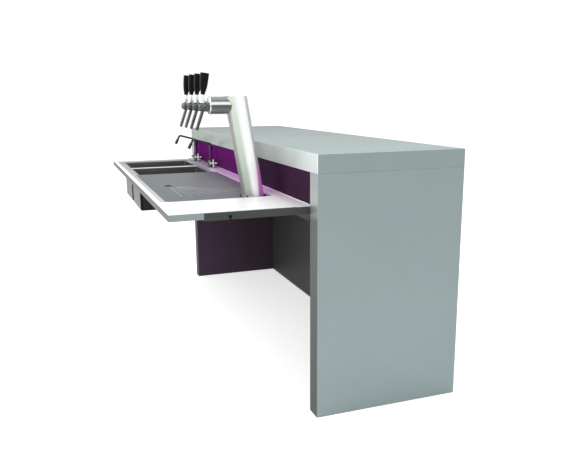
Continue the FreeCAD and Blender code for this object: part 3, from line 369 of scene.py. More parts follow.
def banded_tube(name, across, stops, roughness, metal, edge, panel_reflection=None):
    """A satin tube with lengthwise bands of painted reflection and highlight; across is -1 to 1 over the tube's
    width.

    With a panel reflection, the tube is painted paler upwards, its painted white highlight band shines a little by
    emission, and the side that faces the coloured panels takes a wedge of painted purple reflection up to the
    soffit.
    """
    material, shader, coords = new_material(name)
    axes = coords.axes()
    side = across(axes)
    lines = coords.lines("Z", across=220.0, length=14.0)
    haze = coords.noise(scale=24.0, detail=4.0, rough=0.6).between(0.5, 0.75)
    place = side * 0.5 + 0.5 + lines.swing() * 0.05
    colour = coords.node("ShaderNodeValToRGB", {"stops": stops}, {"Fac": place})
    if panel_reflection:
        height = axes["Z"]
        colour = height.between(PALER_FROM, COLUMN_TOP).mix(PALE, PALER).times(colour)
        wedge = side - height.between(COLUMN_FOOT, SOFFIT) * WEDGE_LEAN
        wedge = wedge.between(*WEDGE_EDGE) * height.between(*WEDGE_FADE)
        colour = wedge.mix(colour, panel_reflection)
        shine = side.between(*SHINE_NEAR) * side.between(*SHINE_FAR) * (1 - wedge)
        feed(shader, Emission__Color=shine.mix(UNLIT, SHINE), Emission__Strength=1.0)
    feed(shader, Base__Color=colour, Metallic=metal, Specular__Tint=(edge, edge, edge, 1),
         Roughness=haze * 0.05 + lines * 0.06 + roughness, Normal=lines.bump(0.03))
    return material


def across_column(axes):
    """How far a point lies to the panel side of the column's leaning axis, in radii."""
    from_axis = axes["Y"] - COLUMN_Y + (axes["Z"] - COLUMN_FOOT) * math.tan(COLUMN_LEAN)
    return from_axis / (COLUMN_RADIUS / math.cos(COLUMN_LEAN))


def up_arm(axes):
    """How far a point lies above the arm's axis, in radii."""
    return (axes["Z"] - ARM_AXIS_Z) / ARM_RADIUS


def board():
    """Hidden board core: pressed chips."""
    material, shader, coords = new_material("pressed_board")
    chips = coords.noise(scale=180.0, detail=4.0, rough=0.7)
    feed(shader, Base__Color=chips.between(0.3, 0.7).mix((0.32, 0.22, 0.12), (0.55, 0.42, 0.27)),
         Roughness=chips * 0.2 + 0.7, Normal=chips.bump(0.3))
    return material


# Parts of a surface with painted light and shade: the strip behind the bowls and the tray in three lengths,
# painted with the purple panel's reflection, darker by the mixers and lighter towards the near end; the service
# rim in painted shade; the bar between the bowls with a painted highlight; the slab's side by the column in
# painted shade that grows into painted light. Then where the mixers' painted reflection and the end linings'
# painted light come in
REAR_Y = (TRAY_HIGH[1] - 0.006, WORKTOP_HIGH[1] + 0.01)
MIXER_END_X = joints["near_spout_swing"]["pos_m"][0] + 0.08
FAR_REAR = {"X": (WORKTOP_LOW[0] - 0.05, MIXER_END_X), "Y": REAR_Y}
MIDDLE_REAR = {"X": (MIXER_END_X - 0.06, COLUMN_X + 0.03), "Y": REAR_Y}
NEAR_REAR = {"X": (COLUMN_X - 0.03, WORKTOP_HIGH[0] + 0.07), "Y": REAR_Y}
RIM = {"X": (WORKTOP_LOW[0] + 0.073, TRAY_HIGH[0]), "Y": (WORKTOP_LOW[1] + 0.021, TRAY_LOW[1])}
DIVIDER = {"X": (FAR_BOWL_HIGH[0] - 0.004, BOWL_LOW[0] + 0.004), "Y": (BOWL_LOW[1], BOWL_HIGH[1])}
COLUMN_SHADE = {"X": (COLUMN_X - 0.70, SLAB_HIGH[0] + 0.25), "Y": (SLAB_LOW[1] - 0.003, SLAB_LOW[1] + 0.003)}
MIXER_RISER = WORKTOP_HIGH[2] + 0.046
PLUM_START_Y, PLUM_FULL_Y = 0.36, 0.04

# Tones used more than once
PANEL_TONE = (0.350, 0.424, 0.428)
PANEL_LIT_EDGE_TONE = (0.50, 0.54, 0.52)
SHADED_LIP_TONE = (0.34, 0.40, 0.40)
BOWL_SIDE_SHADE_TONE = (0.012, 0.012, 0.012)
DARK_PLATE_TONES = (0.040, 0.040, 0.044), (0.075, 0.075, 0.08)

# Painted reflection and highlight bands: a place over the tube's width, from 0 to 1, and its colour
COLUMN_REFLECTION_BANDS = [(0.0, (0.30, 0.27, 0.29)), (0.05, (0.27, 0.27, 0.25)), (0.11, (0.48, 0.54, 0.46)),
                (0.30, (0.53, 0.61, 0.53)), (0.39, (0.86, 0.93, 0.88)), (0.45, (1.0, 1.0, 1.0)),
                (0.72, (1.0, 1.0, 1.0)), (0.82, (0.44, 0.46, 0.47)), (1.0, (0.33, 0.33, 0.35))]
ARM_REFLECTION_BANDS = [(0.0, (0.14, 0.14, 0.14)), (0.16, (0.22, 0.22, 0.215)), (0.36, (0.15, 0.15, 0.145)),
             (0.50, (0.085, 0.10, 0.09)), (0.57, (1.0, 1.0, 1.0)), (0.67, (1.0, 1.0, 1.0)),
             (0.73, (0.16, 0.175, 0.165)), (1.0, (0.21, 0.225, 0.215))]


def end_panel(name, shaded_foot_tone):
    """The steel of an end panel, whose service edge takes painted shade below the worktop and painted light above
    it.
    """
    return brushed_steel(name, PANEL_TONE, "Z", 0.42, metal=0.6, edge=0.6, seam=SOFFIT,
                         faces=[face("Y", SLAB_LOW[1], shaded_foot_tone, PANEL_LIT_EDGE_TONE, UP_TO_WORKTOP)])


FINISHES = {
    # The slab's top and service face are painted lighter towards the near end as painted light, its strong streaks
    # paint sheen bands, and its side by the column takes painted shade that grows into painted light
    "slab": brushed_steel(
        "slab_steel", PANEL_TONE, "X", 0.32, metal=0.7, edge=0.6, streak=0.7, seam=SOFFIT,
        faces=[face("Z", SLAB_HIGH[2], (0.215, 0.272, 0.256), (0.40, 0.51, 0.505)),
               face("Y", SLAB_LOW[1], (0.50, 0.56, 0.53), (0.88, 0.98, 0.91))],
        patches=[patch(COLUMN_SHADE, (0.10, 0.115, 0.105), (1.19, 1.30, 1.24), SHADE_SOFT)]),
    # Both end panels' service edges take painted shade below the worktop; the far panel's is deeper
    "end": end_panel("end_panel_steel", (0.135, 0.145, 0.145)),
    "far_end": end_panel("far_panel_steel_deep_shade", (0.050, 0.052, 0.052)),
    "front": brushed_steel("front_sheet_steel", PANEL_TONE, "X", 0.32, edge=0.6),
    # The worktop's white deck carries painted light and shade: painted shade on the recess floor, the end lips,
    # the service face and the service rim; a painted highlight on the bar between the bowls; and the purple
    # panel's painted reflection on the rear strip
    "worktop": brushed_steel(
        "worktop_steel", (1.0, 1.0, 1.0), "X", 0.36, metal=0.3,
        faces=[face("Z", RECESS_Z, (0.25, 0.265, 0.27), reach=RECESS_FACE),
               face("X", WORKTOP_HIGH[0], SHADED_LIP_TONE),
               face("X", WORKTOP_LOW[0], SHADED_LIP_TONE),
               face("Y", WORKTOP_LOW[1], (0.065, 0.068, 0.065))],
        patches=[patch(RIM, (0.22, 0.235, 0.24), (0.50, 0.52, 0.52)),
                 patch(DIVIDER, (0.60, 0.60, 0.58)),
                 patch(FAR_REAR, (0.40, 0.36, 0.40), (0.34, 0.27, 0.36), SOFT),
                 patch(MIDDLE_REAR, (0.66, 0.46, 0.72), (0.84, 0.57, 0.87), SOFT),
                 patch(NEAR_REAR, (1.0, 0.84, 1.0), (1.0, 1.0, 1.0), SOFT)]),
    # The tray's top takes the purple panel's painted reflection towards the panel, and its groove floors are
    # lighter
    "tray": brushed_steel(
        "tray_steel", (0.215, 0.243, 0.253), "X", 0.38, edge=0.6,
        faces=[face("Z", TRAY_HIGH[2], (0.205, 0.242, 0.250), (0.27, 0.245, 0.285), ACROSS_TRAY, TRAY_FACE),
               face("Z", TRAY_HIGH[2] - GROOVE_DEPTH, (0.66, 0.68, 0.68))]),
    # The bowls' service faces are darker as painted shade, lightening upwards, and their X sides take near black
    # painted shade
    "bowl": brushed_steel(
        "bowl_steel", (0.245, 0.245, 0.245), "Y", 0.34,
        faces=[face("Y", BOWL_LOW[1], (0.145, 0.15, 0.15), (0.160, 0.165, 0.165), UP_BOWL)],
        skins=[(BOWL_LOW, BOWL_HIGH, BOWL_SIDE_SHADE_TONE), (FAR_BOWL_LOW, FAR_BOWL_HIGH, BOWL_SIDE_SHADE_TONE)]),
    "board": board(),
    "lining": dark_finish("dark_lining", (0.052, 0.052, 0.054), (0.072, 0.072, 0.074), 0.42),
    # The end linings' own dark plum, with painted light in a paler plum towards the service side
    "end_lining": dark_finish("plum_lining", (0.058, 0.040, 0.058), (0.078, 0.058, 0.078), 0.42,
                              painted_light=((0.082, 0.040, 0.092), "Y", PLUM_START_Y, PLUM_FULL_Y)),
    "beam": dark_finish("black_paint", (0.020, 0.019, 0.020), (0.034, 0.032, 0.034), 0.5),
    "purple": gloss_panel("purple_panel", (0.225, 0.028, 0.240), (0.160, 0.034, 0.170)),
    # The dark splash panel takes the purple panel's gloss in darker purples as painted shade
    "shaded_purple": gloss_panel("aubergine_panel", (0.085, 0.040, 0.080), (0.068, 0.040, 0.066)),
    "dark_paint": dark_finish("dark_grey_paint", (0.052, 0.060, 0.055), (0.080, 0.088, 0.080), 0.45),
    "bright": polished_metal("bright_plate", (0.74, 0.76, 0.76), (0.88, 0.90, 0.90), 0.10),
    "highlight_chrome": polished_metal("highlight_chrome", (0.86, 0.87, 0.87), (0.95, 0.95, 0.95), 0.24, metal=0.35),
    "tower": banded_tube("polished_tube", across_column, COLUMN_REFLECTION_BANDS, 0.36, 0.2, 0.6, panel_reflection=(1.0, 0.30, 0.90)),
    "arm": banded_tube("satin_tube", up_arm, ARM_REFLECTION_BANDS, 0.34, 0.5, 0.5),
    "manifold": polished_metal("satin_manifold", (0.19, 0.205, 0.19), (0.28, 0.30, 0.28), 0.20, "Y", edge=0.35),
    # The mixers' dark plate, with a painted reflection of the purple panel above the riser
    "mixer": polished_metal("mixer_plate", *DARK_PLATE_TONES, 0.30, "Y", metal=0.7,
                            above=(MIXER_RISER, (0.10, 0.014, 0.11), (0.15, 0.022, 0.16))),
    "tap_grey": polished_metal("tap_nickel", (0.075, 0.08, 0.075), (0.14, 0.145, 0.14), 0.16),
    "chrome": polished_metal("lever_chrome", (0.70, 0.72, 0.72), (0.86, 0.88, 0.88), 0.10),
    "dark_chrome": polished_metal("dark_plate", *DARK_PLATE_TONES, 0.14, "Y"),
    "black": dark_finish("black_moulding", (0.004, 0.004, 0.005), (0.010, 0.010, 0.011), 0.36, 520.0, 0.12),
    "seal": dark_finish("dark_seal", (0.014, 0.013, 0.014), (0.030, 0.028, 0.030), 0.5, 700.0, 0.2),
    "weld": polished_metal("weld_metal", (0.40, 0.42, 0.42), (0.62, 0.64, 0.64), 0.28),
}
NODE_FINISH = {
    "slab": ["slab_casing"],
    "end": ["near_end_casing"],
    "far_end": ["far_end_casing"],
    "front": ["front_casing"],
    "board": ["slab_core", "near_end_core", "far_end_core", "front_core"],
    "lining": ["front_lining"],
    "end_lining": ["near_end_lining", "far_end_lining"],
    "purple": ["purple_splash_panel"],
    "shaded_purple": ["dark_splash_panel"],
    "dark_paint": ["lower_splash_rail", "upper_splash_rail", "near_bracket", "far_bracket", "tower_bearer",
                   "mid_bearer"],
    "beam": ["worktop_beam"],
    "seal": ["clamp_screws"],
    "worktop": ["worktop"],
    "tray": ["drip_tray"],
    "bowl": ["near_bowl", "far_bowl"],
    "bright": ["bracket_bolts", "near_waste", "far_waste", "near_strainer", "far_strainer", "arm_cap"],
    "tower": ["column", "column_cap"],
    "arm": ["arm"],
    "manifold": ["manifold", "manifold_cap"],
    "tap_grey": ["drip_drain"] + [f"tap_body_{number}" for number in TAPS],
    "chrome": [f"tap_lever_{number}" for number in TAPS],
    # Near mixer handles take a white painted highlight; far handles take the dark mixer finish as painted shade
    "highlight_chrome": [f"{mixer}_mixer_near_handle" for mixer in MIXERS],
    "mixer": [f"{mixer}_mixer_{piece}" for mixer in MIXERS for piece in ("body", "far_handle")],
    # The flange and its nuts are dark as painted shade at the column's foot; the spouts' dark chrome paints dark
    # reflections
    "dark_chrome": ["tower_flange", "tower_nuts"] + [f"{mixer}_mixer_spout" for mixer in MIXERS],
    "black": [f"tap_handle_{number}" for number in TAPS],
}


def finish_nodes():
    """Give each CAD node its finish."""
    for finish, names in NODE_FINISH.items():
        for name in names:
            mesh = nodes[name].data
            mesh.materials.clear()
            mesh.materials.append(FINISHES[finish])


# How finely the dress is made
MERGE = 1e-6
SMOOTH_DEGREES = 40
NUT_DEGREES = 20
TURNED_SIDES = 48
ARM_SIDES = 20
NUT_SIDES = 6
WASTE_NUT_SIDES = 12
WELD_STEPS = 72
CORNER_STEPS = 6
BAND_STEPS = 4
EDGE_STEPS = 3


def finish_piece(mesh, finish, body, smooth_degrees=SMOOTH_DEGREES, replaces=()):
    """Make a mesh a finished piece of its name: its normals, smooth faces, finish and body."""
    work = bmesh.new()
    work.from_mesh(mesh)
    bmesh.ops.remove_doubles(work, verts=work.verts, dist=MERGE)
    bmesh.ops.recalc_face_normals(work, faces=work.faces)
    work.to_mesh(mesh)
    work.free()
    mesh.shade_smooth()
    mesh.set_sharp_from_angle(angle=math.radians(smooth_degrees))
    mesh.materials.clear()
    mesh.materials.append(FINISHES[finish])
    piece = bpy.data.objects.new(mesh.name, mesh)
    bpy.context.scene.collection.objects.link(piece)
    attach(piece, body)
    if replaces:
        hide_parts(*replaces)


def joint_place(name):
    """Where a joint's axis lies."""
    return Vector(joints[name]["pos_m"])


def turns_of(count):
    """Angles that share a full turn."""
    return [2 * math.pi * step / count for step in range(count)]


def loft(name, rings):
    """A closed mesh through rings of points, capped at both ends."""
    verts = [point for ring in rings for point in ring]
    count = len(rings[0])
    faces = [list(range(count))]
    for row in range(len(rings) - 1):
        for step in range(count):
            after = (step + 1) % count
            faces.append([row * count + step, row * count + after,
                          (row + 1) * count + after, (row + 1) * count + step])
    faces.append([(len(rings) - 1) * count + step for step in range(count)])
    mesh = bpy.data.meshes.new(name)
    mesh.from_pydata(verts, [], faces)
    return mesh


def lathe(name, outline, place, sides=TURNED_SIDES):
    """A turned piece: (radius, height) pairs about the local Z axis, then put in place."""
    rings = [[place @ Vector((radius * math.cos(turn), radius * math.sin(turn), height))
              for turn in turns_of(sides)] for radius, height in outline]
    return loft(name, rings)


def rounded_band(outer, inner, low, high, edge):
    """The outline of a ring with rounded outer corners, as (radius, height) pairs."""
    turns = [QUARTER_TURN * step / BAND_STEPS for step in range(BAND_STEPS + 1)]
    band = [(inner, low)]
    band += [(outer - edge + edge * math.sin(turn), low + edge - edge * math.cos(turn)) for turn in turns]
    band += [(outer - edge + edge * math.cos(turn), high - edge + edge * math.sin(turn)) for turn in turns]
    return band + [(inner, high)]


def ring(name, place, outer, inner, low, high, edge, sides=TURNED_SIDES):
    """A ring with an open middle."""
    outline = rounded_band(outer, inner, low, high, edge)
    mesh = lathe(name, outline + outline[:1], place, sides)
    work = bmesh.new()
    work.from_mesh(mesh)
    caps = [cap for cap in work.faces if len(cap.verts) == sides]
    bmesh.ops.delete(work, geom=caps, context="FACES_ONLY")
    work.to_mesh(mesh)
    work.free()
    return mesh


def bead(name, points, radius):
    """A thin round bead along a closed line of points."""
    curve = bpy.data.curves.new(name, "CURVE")
    curve.dimensions = "3D"
    curve.bevel_depth = radius
    curve.bevel_resolution = EDGE_STEPS
    line = curve.splines.new("POLY")
    line.points.add(len(points) - 1)
    for spot, point in zip(line.points, points):
        spot.co = (*point, 1)
    line.use_cyclic_u = True
    holder = bpy.data.objects.new(name, curve)
    mesh = bpy.data.meshes.new_from_object(holder)
    mesh.name = name
    bpy.data.objects.remove(holder)
    return mesh


def rounded_bar(name, low, high, edge):
    """A straight bar between two corners, with its edges rounded."""
    work = bmesh.new()
    middle = (Vector(low) + Vector(high)) / 2
    size = Vector(high) - Vector(low)
    bmesh.ops.create_cube(work, size=1.0, matrix=Matrix.Translation(middle) @ Matrix.Diagonal((*size, 1)))
    bmesh.ops.bevel(work, geom=list(work.edges), offset=edge, segments=EDGE_STEPS, affect="EDGES", profile=0.5)
    mesh = bpy.data.meshes.new(name)
    work.to_mesh(mesh)
    work.free()
    return mesh


def rounded_rectangle(width, depth, corner, height):
    """A ring of points: a rectangle with round corners at one height."""
    points = []
    for quarter, (across, along) in enumerate(((1, 1), (-1, 1), (-1, -1), (1, -1))):
        for step in range(CORNER_STEPS + 1):
            turn = QUARTER_TURN * (quarter + step / CORNER_STEPS)
            points.append(Vector((across * (width / 2 - corner) + corner * math.cos(turn),
                                  along * (depth / 2 - corner) + corner * math.sin(turn), height)))
    return points


# Tap levers: heights above the pivot, and a handle's sections as height above the ferrule, width and depth
COLLAR_FOOT, COLLAR_TOP = 0.0186, 0.0356
COLLAR_OUTER, COLLAR_INNER, COLLAR_EDGE = 0.0118, 0.0109, 0.0004
COLLAR_BANDS = [(0.0, 0.0075), (0.0095, 0.0170)]
FERRULE_TOP = 0.0546
FERRULE_OUTLINE = [(0.0088, COLLAR_TOP + 0.0003), (0.0092, COLLAR_TOP + 0.001), (0.0090, COLLAR_TOP + 0.004),
                   (0.0078, COLLAR_TOP + 0.011), (0.0068, FERRULE_TOP - 0.003),
                   (0.0072, FERRULE_TOP - 0.001), (0.0068, FERRULE_TOP + 0.0002)]
HANDLE_SECTIONS = [(0.0, 0.0125, 0.0140), (0.0015, 0.0155, 0.0172), (0.005, 0.0165, 0.0185),
                   (0.008, 0.0162, 0.0184), (0.0095, 0.0162, 0.0184), (0.014, 0.0186, 0.0222),
                   (0.028, 0.0224, 0.0286), (0.042, 0.0248, 0.0330), (0.060, 0.0260, 0.0356),
                   (0.078, 0.0268, 0.0374), (0.090, 0.0270, 0.0380), (0.0930, 0.0268, 0.0378),
                   (0.0945, 0.0256, 0.0366), (0.0950, 0.0236, 0.0346)]
HANDLE_CORNER_SHARE = 0.34
COUPLING_NUT_OUTLINE = [(0.0118, 0.0192), (0.0132, 0.0198), (0.0132, 0.0268), (0.0122, 0.0277)]


def tap_frame(number):
    """The place of a tap's lever: its pivot, leaning back towards the customer side."""
    pivot = joint_place(f"tap_{number}_pull")
    return Matrix.Translation(pivot) @ Matrix.Rotation(-LEVER_LEAN, 4, "X")


def tap_handles():
    """Black handles that flare to a flat top with soft edges, with a waist line above the ferrule."""
    for number in TAPS:
        place = tap_frame(number) @ Matrix.Translation((0, 0, FERRULE_TOP))
        rings = []
        for height, width, depth in HANDLE_SECTIONS:
            corner = min(width, depth) * HANDLE_CORNER_SHARE
            rings.append([place @ point for point in rounded_rectangle(width, depth, corner, height)])
        finish_piece(loft(f"handle_grip_{number}", rings), "black", f"tap_{number}",
                     replaces=[f"tap_handle_{number}"])


def tap_dress():
    """A bright banded collar, a bright ferrule and a coupling nut on each tap."""
    for number in TAPS:
        lever = tap_frame(number)
        body = f"tap_{number}"
        for step, (low, high) in enumerate(COLLAR_BANDS):
            band = ring(f"collar_band_{number}_{step}", lever, COLLAR_OUTER, COLLAR_INNER,
                        COLLAR_FOOT + low, COLLAR_FOOT + high, COLLAR_EDGE)
            finish_piece(band, "bright", body)
        finish_piece(lathe(f"ferrule_{number}", FERRULE_OUTLINE, lever), "bright", body)
        seat = Matrix.Translation(joint_place(f"tap_{number}_pull")) @ Matrix.Rotation(-QUARTER_TURN, 4, "X")
        nut = lathe(f"coupling_nut_{number}", COUPLING_NUT_OUTLINE, seat, NUT_SIDES)
        finish_piece(nut, "tap_grey", "counter", NUT_DEGREES)


# Weld beads, as radii
FOOT_WELD = 0.0018
ARM_WELD = 0.0015
MANIFOLD_WELD = 0.0013


def column_line(height):
    """The column's axis at a height, as its Y."""
    return COLUMN_Y - (height - COLUMN_FOOT) * math.tan(COLUMN_LEAN)


def welds():
    """Ground weld beads where the column meets its flange, the arm the column and the manifold the arm."""
    stretch = COLUMN_RADIUS / math.cos(COLUMN_LEAN)
    turns = turns_of(WELD_STEPS)
    foot = [(COLUMN_X + COLUMN_RADIUS * math.cos(turn), COLUMN_Y + stretch * math.sin(turn), COLUMN_FOOT)
            for turn in turns]
    finish_piece(bead("foot_weld", foot, FOOT_WELD), "weld", "counter")
    root = []
    for turn in turns:
        across = ARM_RADIUS * math.cos(turn)
        height = ARM_AXIS_Z + ARM_RADIUS * math.sin(turn)
        reach = stretch * math.sqrt(1 - (across / COLUMN_RADIUS) ** 2)
        root.append((COLUMN_X + across, column_line(height) - reach, height))
    finish_piece(bead("arm_weld", root, ARM_WELD), "weld", "counter")
    low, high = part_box("manifold_cap")
    radius = (high[2] - low[2]) / 2
    axis_y, axis_z = (low[1] + high[1]) / 2, (low[2] + high[2]) / 2
    joint = []
    for turn in turns:
        height = axis_z + radius * math.sin(turn)
        reach = math.sqrt(ARM_RADIUS ** 2 - (height - ARM_AXIS_Z) ** 2)
        joint.append((COLUMN_X - reach, axis_y + radius * math.cos(turn), height))
    finish_piece(bead("manifold_weld", joint, MANIFOLD_WELD), "weld", "counter")


# Seals: the gap at their ends, their depth before the panel, and their heights from the worktop and the soffit
SEAL_END_GAP = 0.002
SEAL_EDGE = 0.0008
WORKTOP_SEAL_DEPTH, WORKTOP_SEAL_FOOT, WORKTOP_SEAL_TOP = 0.0022, 0.0001, 0.0026
SLAB_SEAL_DEPTH, SLAB_SEAL_BEHIND, SLAB_SEAL_FOOT, SLAB_SEAL_TOP = 0.002, 0.001, 0.003, 0.0002
STRIP_NEAR, STRIP_FAR = 0.0045, 0.004
STRIP_DEPTH, STRIP_BEHIND = 0.0012, 0.0002
STRIP_FOOT_GAP, STRIP_TOP_GAP = 0.006, 0.004
STRIP_EDGE = 0.0005


def seals():
    """A steel bead behind the worktop, a dark one under the slab and a cover strip on the splash joint."""
    front = SPLASH_LOW[1]
    left, right = WORKTOP_LOW[0] + SEAL_END_GAP, WORKTOP_HIGH[0] - SEAL_END_GAP
    deck = WORKTOP_HIGH[2]
    bar = rounded_bar("worktop_seal", (left, front - WORKTOP_SEAL_DEPTH, deck + WORKTOP_SEAL_FOOT),
                      (right, front, deck + WORKTOP_SEAL_TOP), SEAL_EDGE)
    finish_piece(bar, "worktop", "counter")
    bar = rounded_bar("slab_seal", (left, front - SLAB_SEAL_DEPTH, SOFFIT - SLAB_SEAL_FOOT),
                      (right, front + SLAB_SEAL_BEHIND, SOFFIT - SLAB_SEAL_TOP), SEAL_EDGE)
    finish_piece(bar, "seal", "counter")
    joint = SPLASH_HIGH[0]
    bar = rounded_bar("splash_joint_strip",
                      (joint - STRIP_FAR, front - STRIP_DEPTH, SPLASH_LOW[2] + STRIP_FOOT_GAP),
                      (joint + STRIP_NEAR, front + STRIP_BEHIND, SPLASH_HIGH[2] - STRIP_TOP_GAP), STRIP_EDGE)
    finish_piece(bar, "shaded_purple", "counter")


# Lining screws
SCREW_RADIUS = 0.0048
SCREW_FLATNESS = (1.0, 1.0, 0.42)
SCREW_SEGMENTS, SCREW_RINGS = 14, 8
SCREW_SLOT = (0.0062, 0.0009, 0.0012)
SCREW_SLOT_HEIGHT = 0.0019
SCREW_MARGIN = 0.05
FRONT_SCREWS, END_SCREWS = 10, 4


def screw_tree():
    """Pan-head screws along a straight row: a node tree with named sizes."""
    tree = bpy.data.node_groups.new("screw_row", "GeometryNodeTree")
    inputs = {}
    for label, kind in (("First", "NodeSocketVector"), ("Last", "NodeSocketVector"), ("Count", "NodeSocketInt"),
                        ("Turn", "NodeSocketVector"), ("Radius", "NodeSocketFloat"),
                        ("Finish", "NodeSocketMaterial")):
        inputs[label] = tree.interface.new_socket(label, in_out="INPUT", socket_type=kind).identifier
    tree.interface.new_socket("Mesh", in_out="OUTPUT", socket_type="NodeSocketGeometry")

    def add(kind, settings=None, **links):
        """Add a node: its settings first, then its sockets, with an underscore for a space."""
        made = tree.nodes.new(kind)
        for name, value in (settings or {}).items():
            setattr(made, name, value)
        for name, value in links.items():
            socket = made.inputs[name.replace("_", " ")]
            if isinstance(value, bpy.types.NodeSocket):
                tree.links.new(value, socket)
            else:
                socket.default_value = value
        return made

    start = tree.nodes.new("NodeGroupInput").outputs
    row = add("GeometryNodeMeshLine", {"mode": "END_POINTS"}, Count=start["Count"],
              Start_Location=start["First"], Offset=start["Last"])
    head = add("GeometryNodeMeshUVSphere", Segments=SCREW_SEGMENTS, Rings=SCREW_RINGS, Radius=start["Radius"])
    flat = add("GeometryNodeTransform", Geometry=head.outputs["Mesh"], Scale=SCREW_FLATNESS)
    slot = add("GeometryNodeMeshCube", Size=SCREW_SLOT, Vertices_X=2, Vertices_Y=2, Vertices_Z=2)
    lifted = add("GeometryNodeTransform", Geometry=slot.outputs["Mesh"], Translation=(0.0, 0.0, SCREW_SLOT_HEIGHT))
    cut = add("GeometryNodeMeshBoolean", {"operation": "DIFFERENCE"}, Mesh_1=flat.outputs["Geometry"],
              Mesh_2=lifted.outputs["Geometry"])
    spread = add("GeometryNodeInstanceOnPoints", Points=row.outputs["Mesh"], Instance=cut.outputs["Mesh"],
                 Rotation=start["Turn"])
    real = add("GeometryNodeRealizeInstances", Geometry=spread.outputs["Instances"])
    dressed = add("GeometryNodeSetMaterial", Geometry=real.outputs["Geometry"], Material=start["Finish"])
    end = tree.nodes.new("NodeGroupOutput")
    tree.links.new(dressed.outputs["Geometry"], end.inputs["Mesh"])
    return tree, inputs


def screw_row(name, tree, inputs, first, last, count, turn):
    """Run the screw tree on an empty mesh and keep the result as a plain piece."""
    holder = bpy.data.objects.new(f"{name}_holder", bpy.data.meshes.new(f"{name}_holder"))
    bpy.context.scene.collection.objects.link(holder)
    modifier = holder.modifiers.new("screws", "NODES")
    modifier.node_group = tree
    values = {"First": first, "Last": last, "Count": count, "Turn": turn, "Radius": SCREW_RADIUS,
              "Finish": FINISHES["dark_paint"]}
    for label, value in values.items():
        modifier[inputs[label]] = value
    holder.update_tag()
    bpy.context.view_layer.update()
    evaluated = holder.evaluated_get(bpy.context.evaluated_depsgraph_get())
    mesh = bpy.data.meshes.new_from_object(evaluated)
    mesh.name = name
    holder.modifiers.remove(modifier)
    bpy.data.objects.remove(holder)
    finish_piece(mesh, "dark_paint", "counter")


def lining_screws():
    """Screw rows that hold the linings of the service bay."""
    tree, inputs = screw_tree()
    wall = LINING_LOW[1]
    low_row, high_row = SCREW_MARGIN, SOFFIT - SCREW_MARGIN
    for label, height in (("low", low_row), ("middle", SOFFIT / 2), ("high", high_row)):
        screw_row(f"front_{label}_screws", tree, inputs, (LINING_LOW[0] + SCREW_MARGIN, wall, height),
                  (LINING_HIGH[0] - SCREW_MARGIN, wall, height), FRONT_SCREWS, (QUARTER_TURN, 0.0, 0.0))
    for side, name in ((1, "near"), (-1, "far")):
        lining = side * NEAR_LINING_LOW[0]
        for label, height in (("low", low_row), ("high", high_row)):
            screw_row(f"{name}_end_{label}_screws", tree, inputs,
                      (lining, NEAR_LINING_LOW[1] + SCREW_MARGIN, height),
                      (lining, wall - SCREW_MARGIN, height), END_SCREWS, (0.0, -side * QUARTER_TURN, 0.0))


# Bracket tabs: half widths, and heights from the bracket's foot
TAB_THICKNESS, TAB_EDGE = 0.0025, 0.0007
CLAMP_PARTS = (("tab", 0.0063, 0.009, 0.018), ("stem", 0.0028, -0.006, 0.0088))


def clamp_tabs():
    """A black tab and its stem on each bracket's outer face, over its clamp screw."""
    middle = (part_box("clamp_screws")[0][1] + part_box("clamp_screws")[1][1]) / 2
    for side, name in ((1, "near"), (-1, "far")):
        low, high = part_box(f"{name}_bracket")
        outside = high[0] if side > 0 else low[0]
        inner, outer = sorted((outside, outside + side * TAB_THICKNESS))
        for part, half, bottom, top in CLAMP_PARTS:
            bar = rounded_bar(f"{name}_clamp_{part}", (inner, middle - half, low[2] + bottom),
                              (outer, middle + half, low[2] + top), TAB_EDGE)
            finish_piece(bar, "black", "counter")


# Bowls: the nut below the waste's flange, and the pad's seat, thickness and margins
WASTE_NUT = {"outer": 0.0465, "inner": 0.0402, "low": -0.014, "high": -0.0002, "edge": 0.0015}
PAD_SEAT, PAD_THICKNESS, PAD_EDGE = 0.0001, 0.0022, 0.0006
PAD_SIDE_MARGIN, PAD_FOOT_MARGIN, PAD_TOP_MARGIN = 0.014, 0.012, 0.022


def sink_dress():
    """A waste nut below each bowl, and on each of its two X sides a dark pad that stands in for shade."""
    for name in MIXERS:
        low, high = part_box(f"{name}_bowl")
        waste_low, waste_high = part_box(f"{name}_waste")
        middle = Vector(((waste_low[0] + waste_high[0]) / 2, (waste_low[1] + waste_high[1]) / 2, low[2]))
        nut = ring(f"{name}_waste_nut", Matrix.Translation(middle), **WASTE_NUT, sides=WASTE_NUT_SIDES)
        finish_piece(nut, "seal", "counter", NUT_DEGREES)
        for side, end, wall in ((1, "near", high[0]), (-1, "far", low[0])):
            inner, outer = sorted((wall - side * PAD_SEAT, wall + side * PAD_THICKNESS))
            pad = rounded_bar(f"{name}_shade_pad_{end}",
                              (inner, low[1] + PAD_SIDE_MARGIN, low[2] + PAD_FOOT_MARGIN),
                              (outer, high[1] - PAD_SIDE_MARGIN, high[2] - PAD_TOP_MARGIN), PAD_EDGE)
            finish_piece(pad, "seal", "counter")


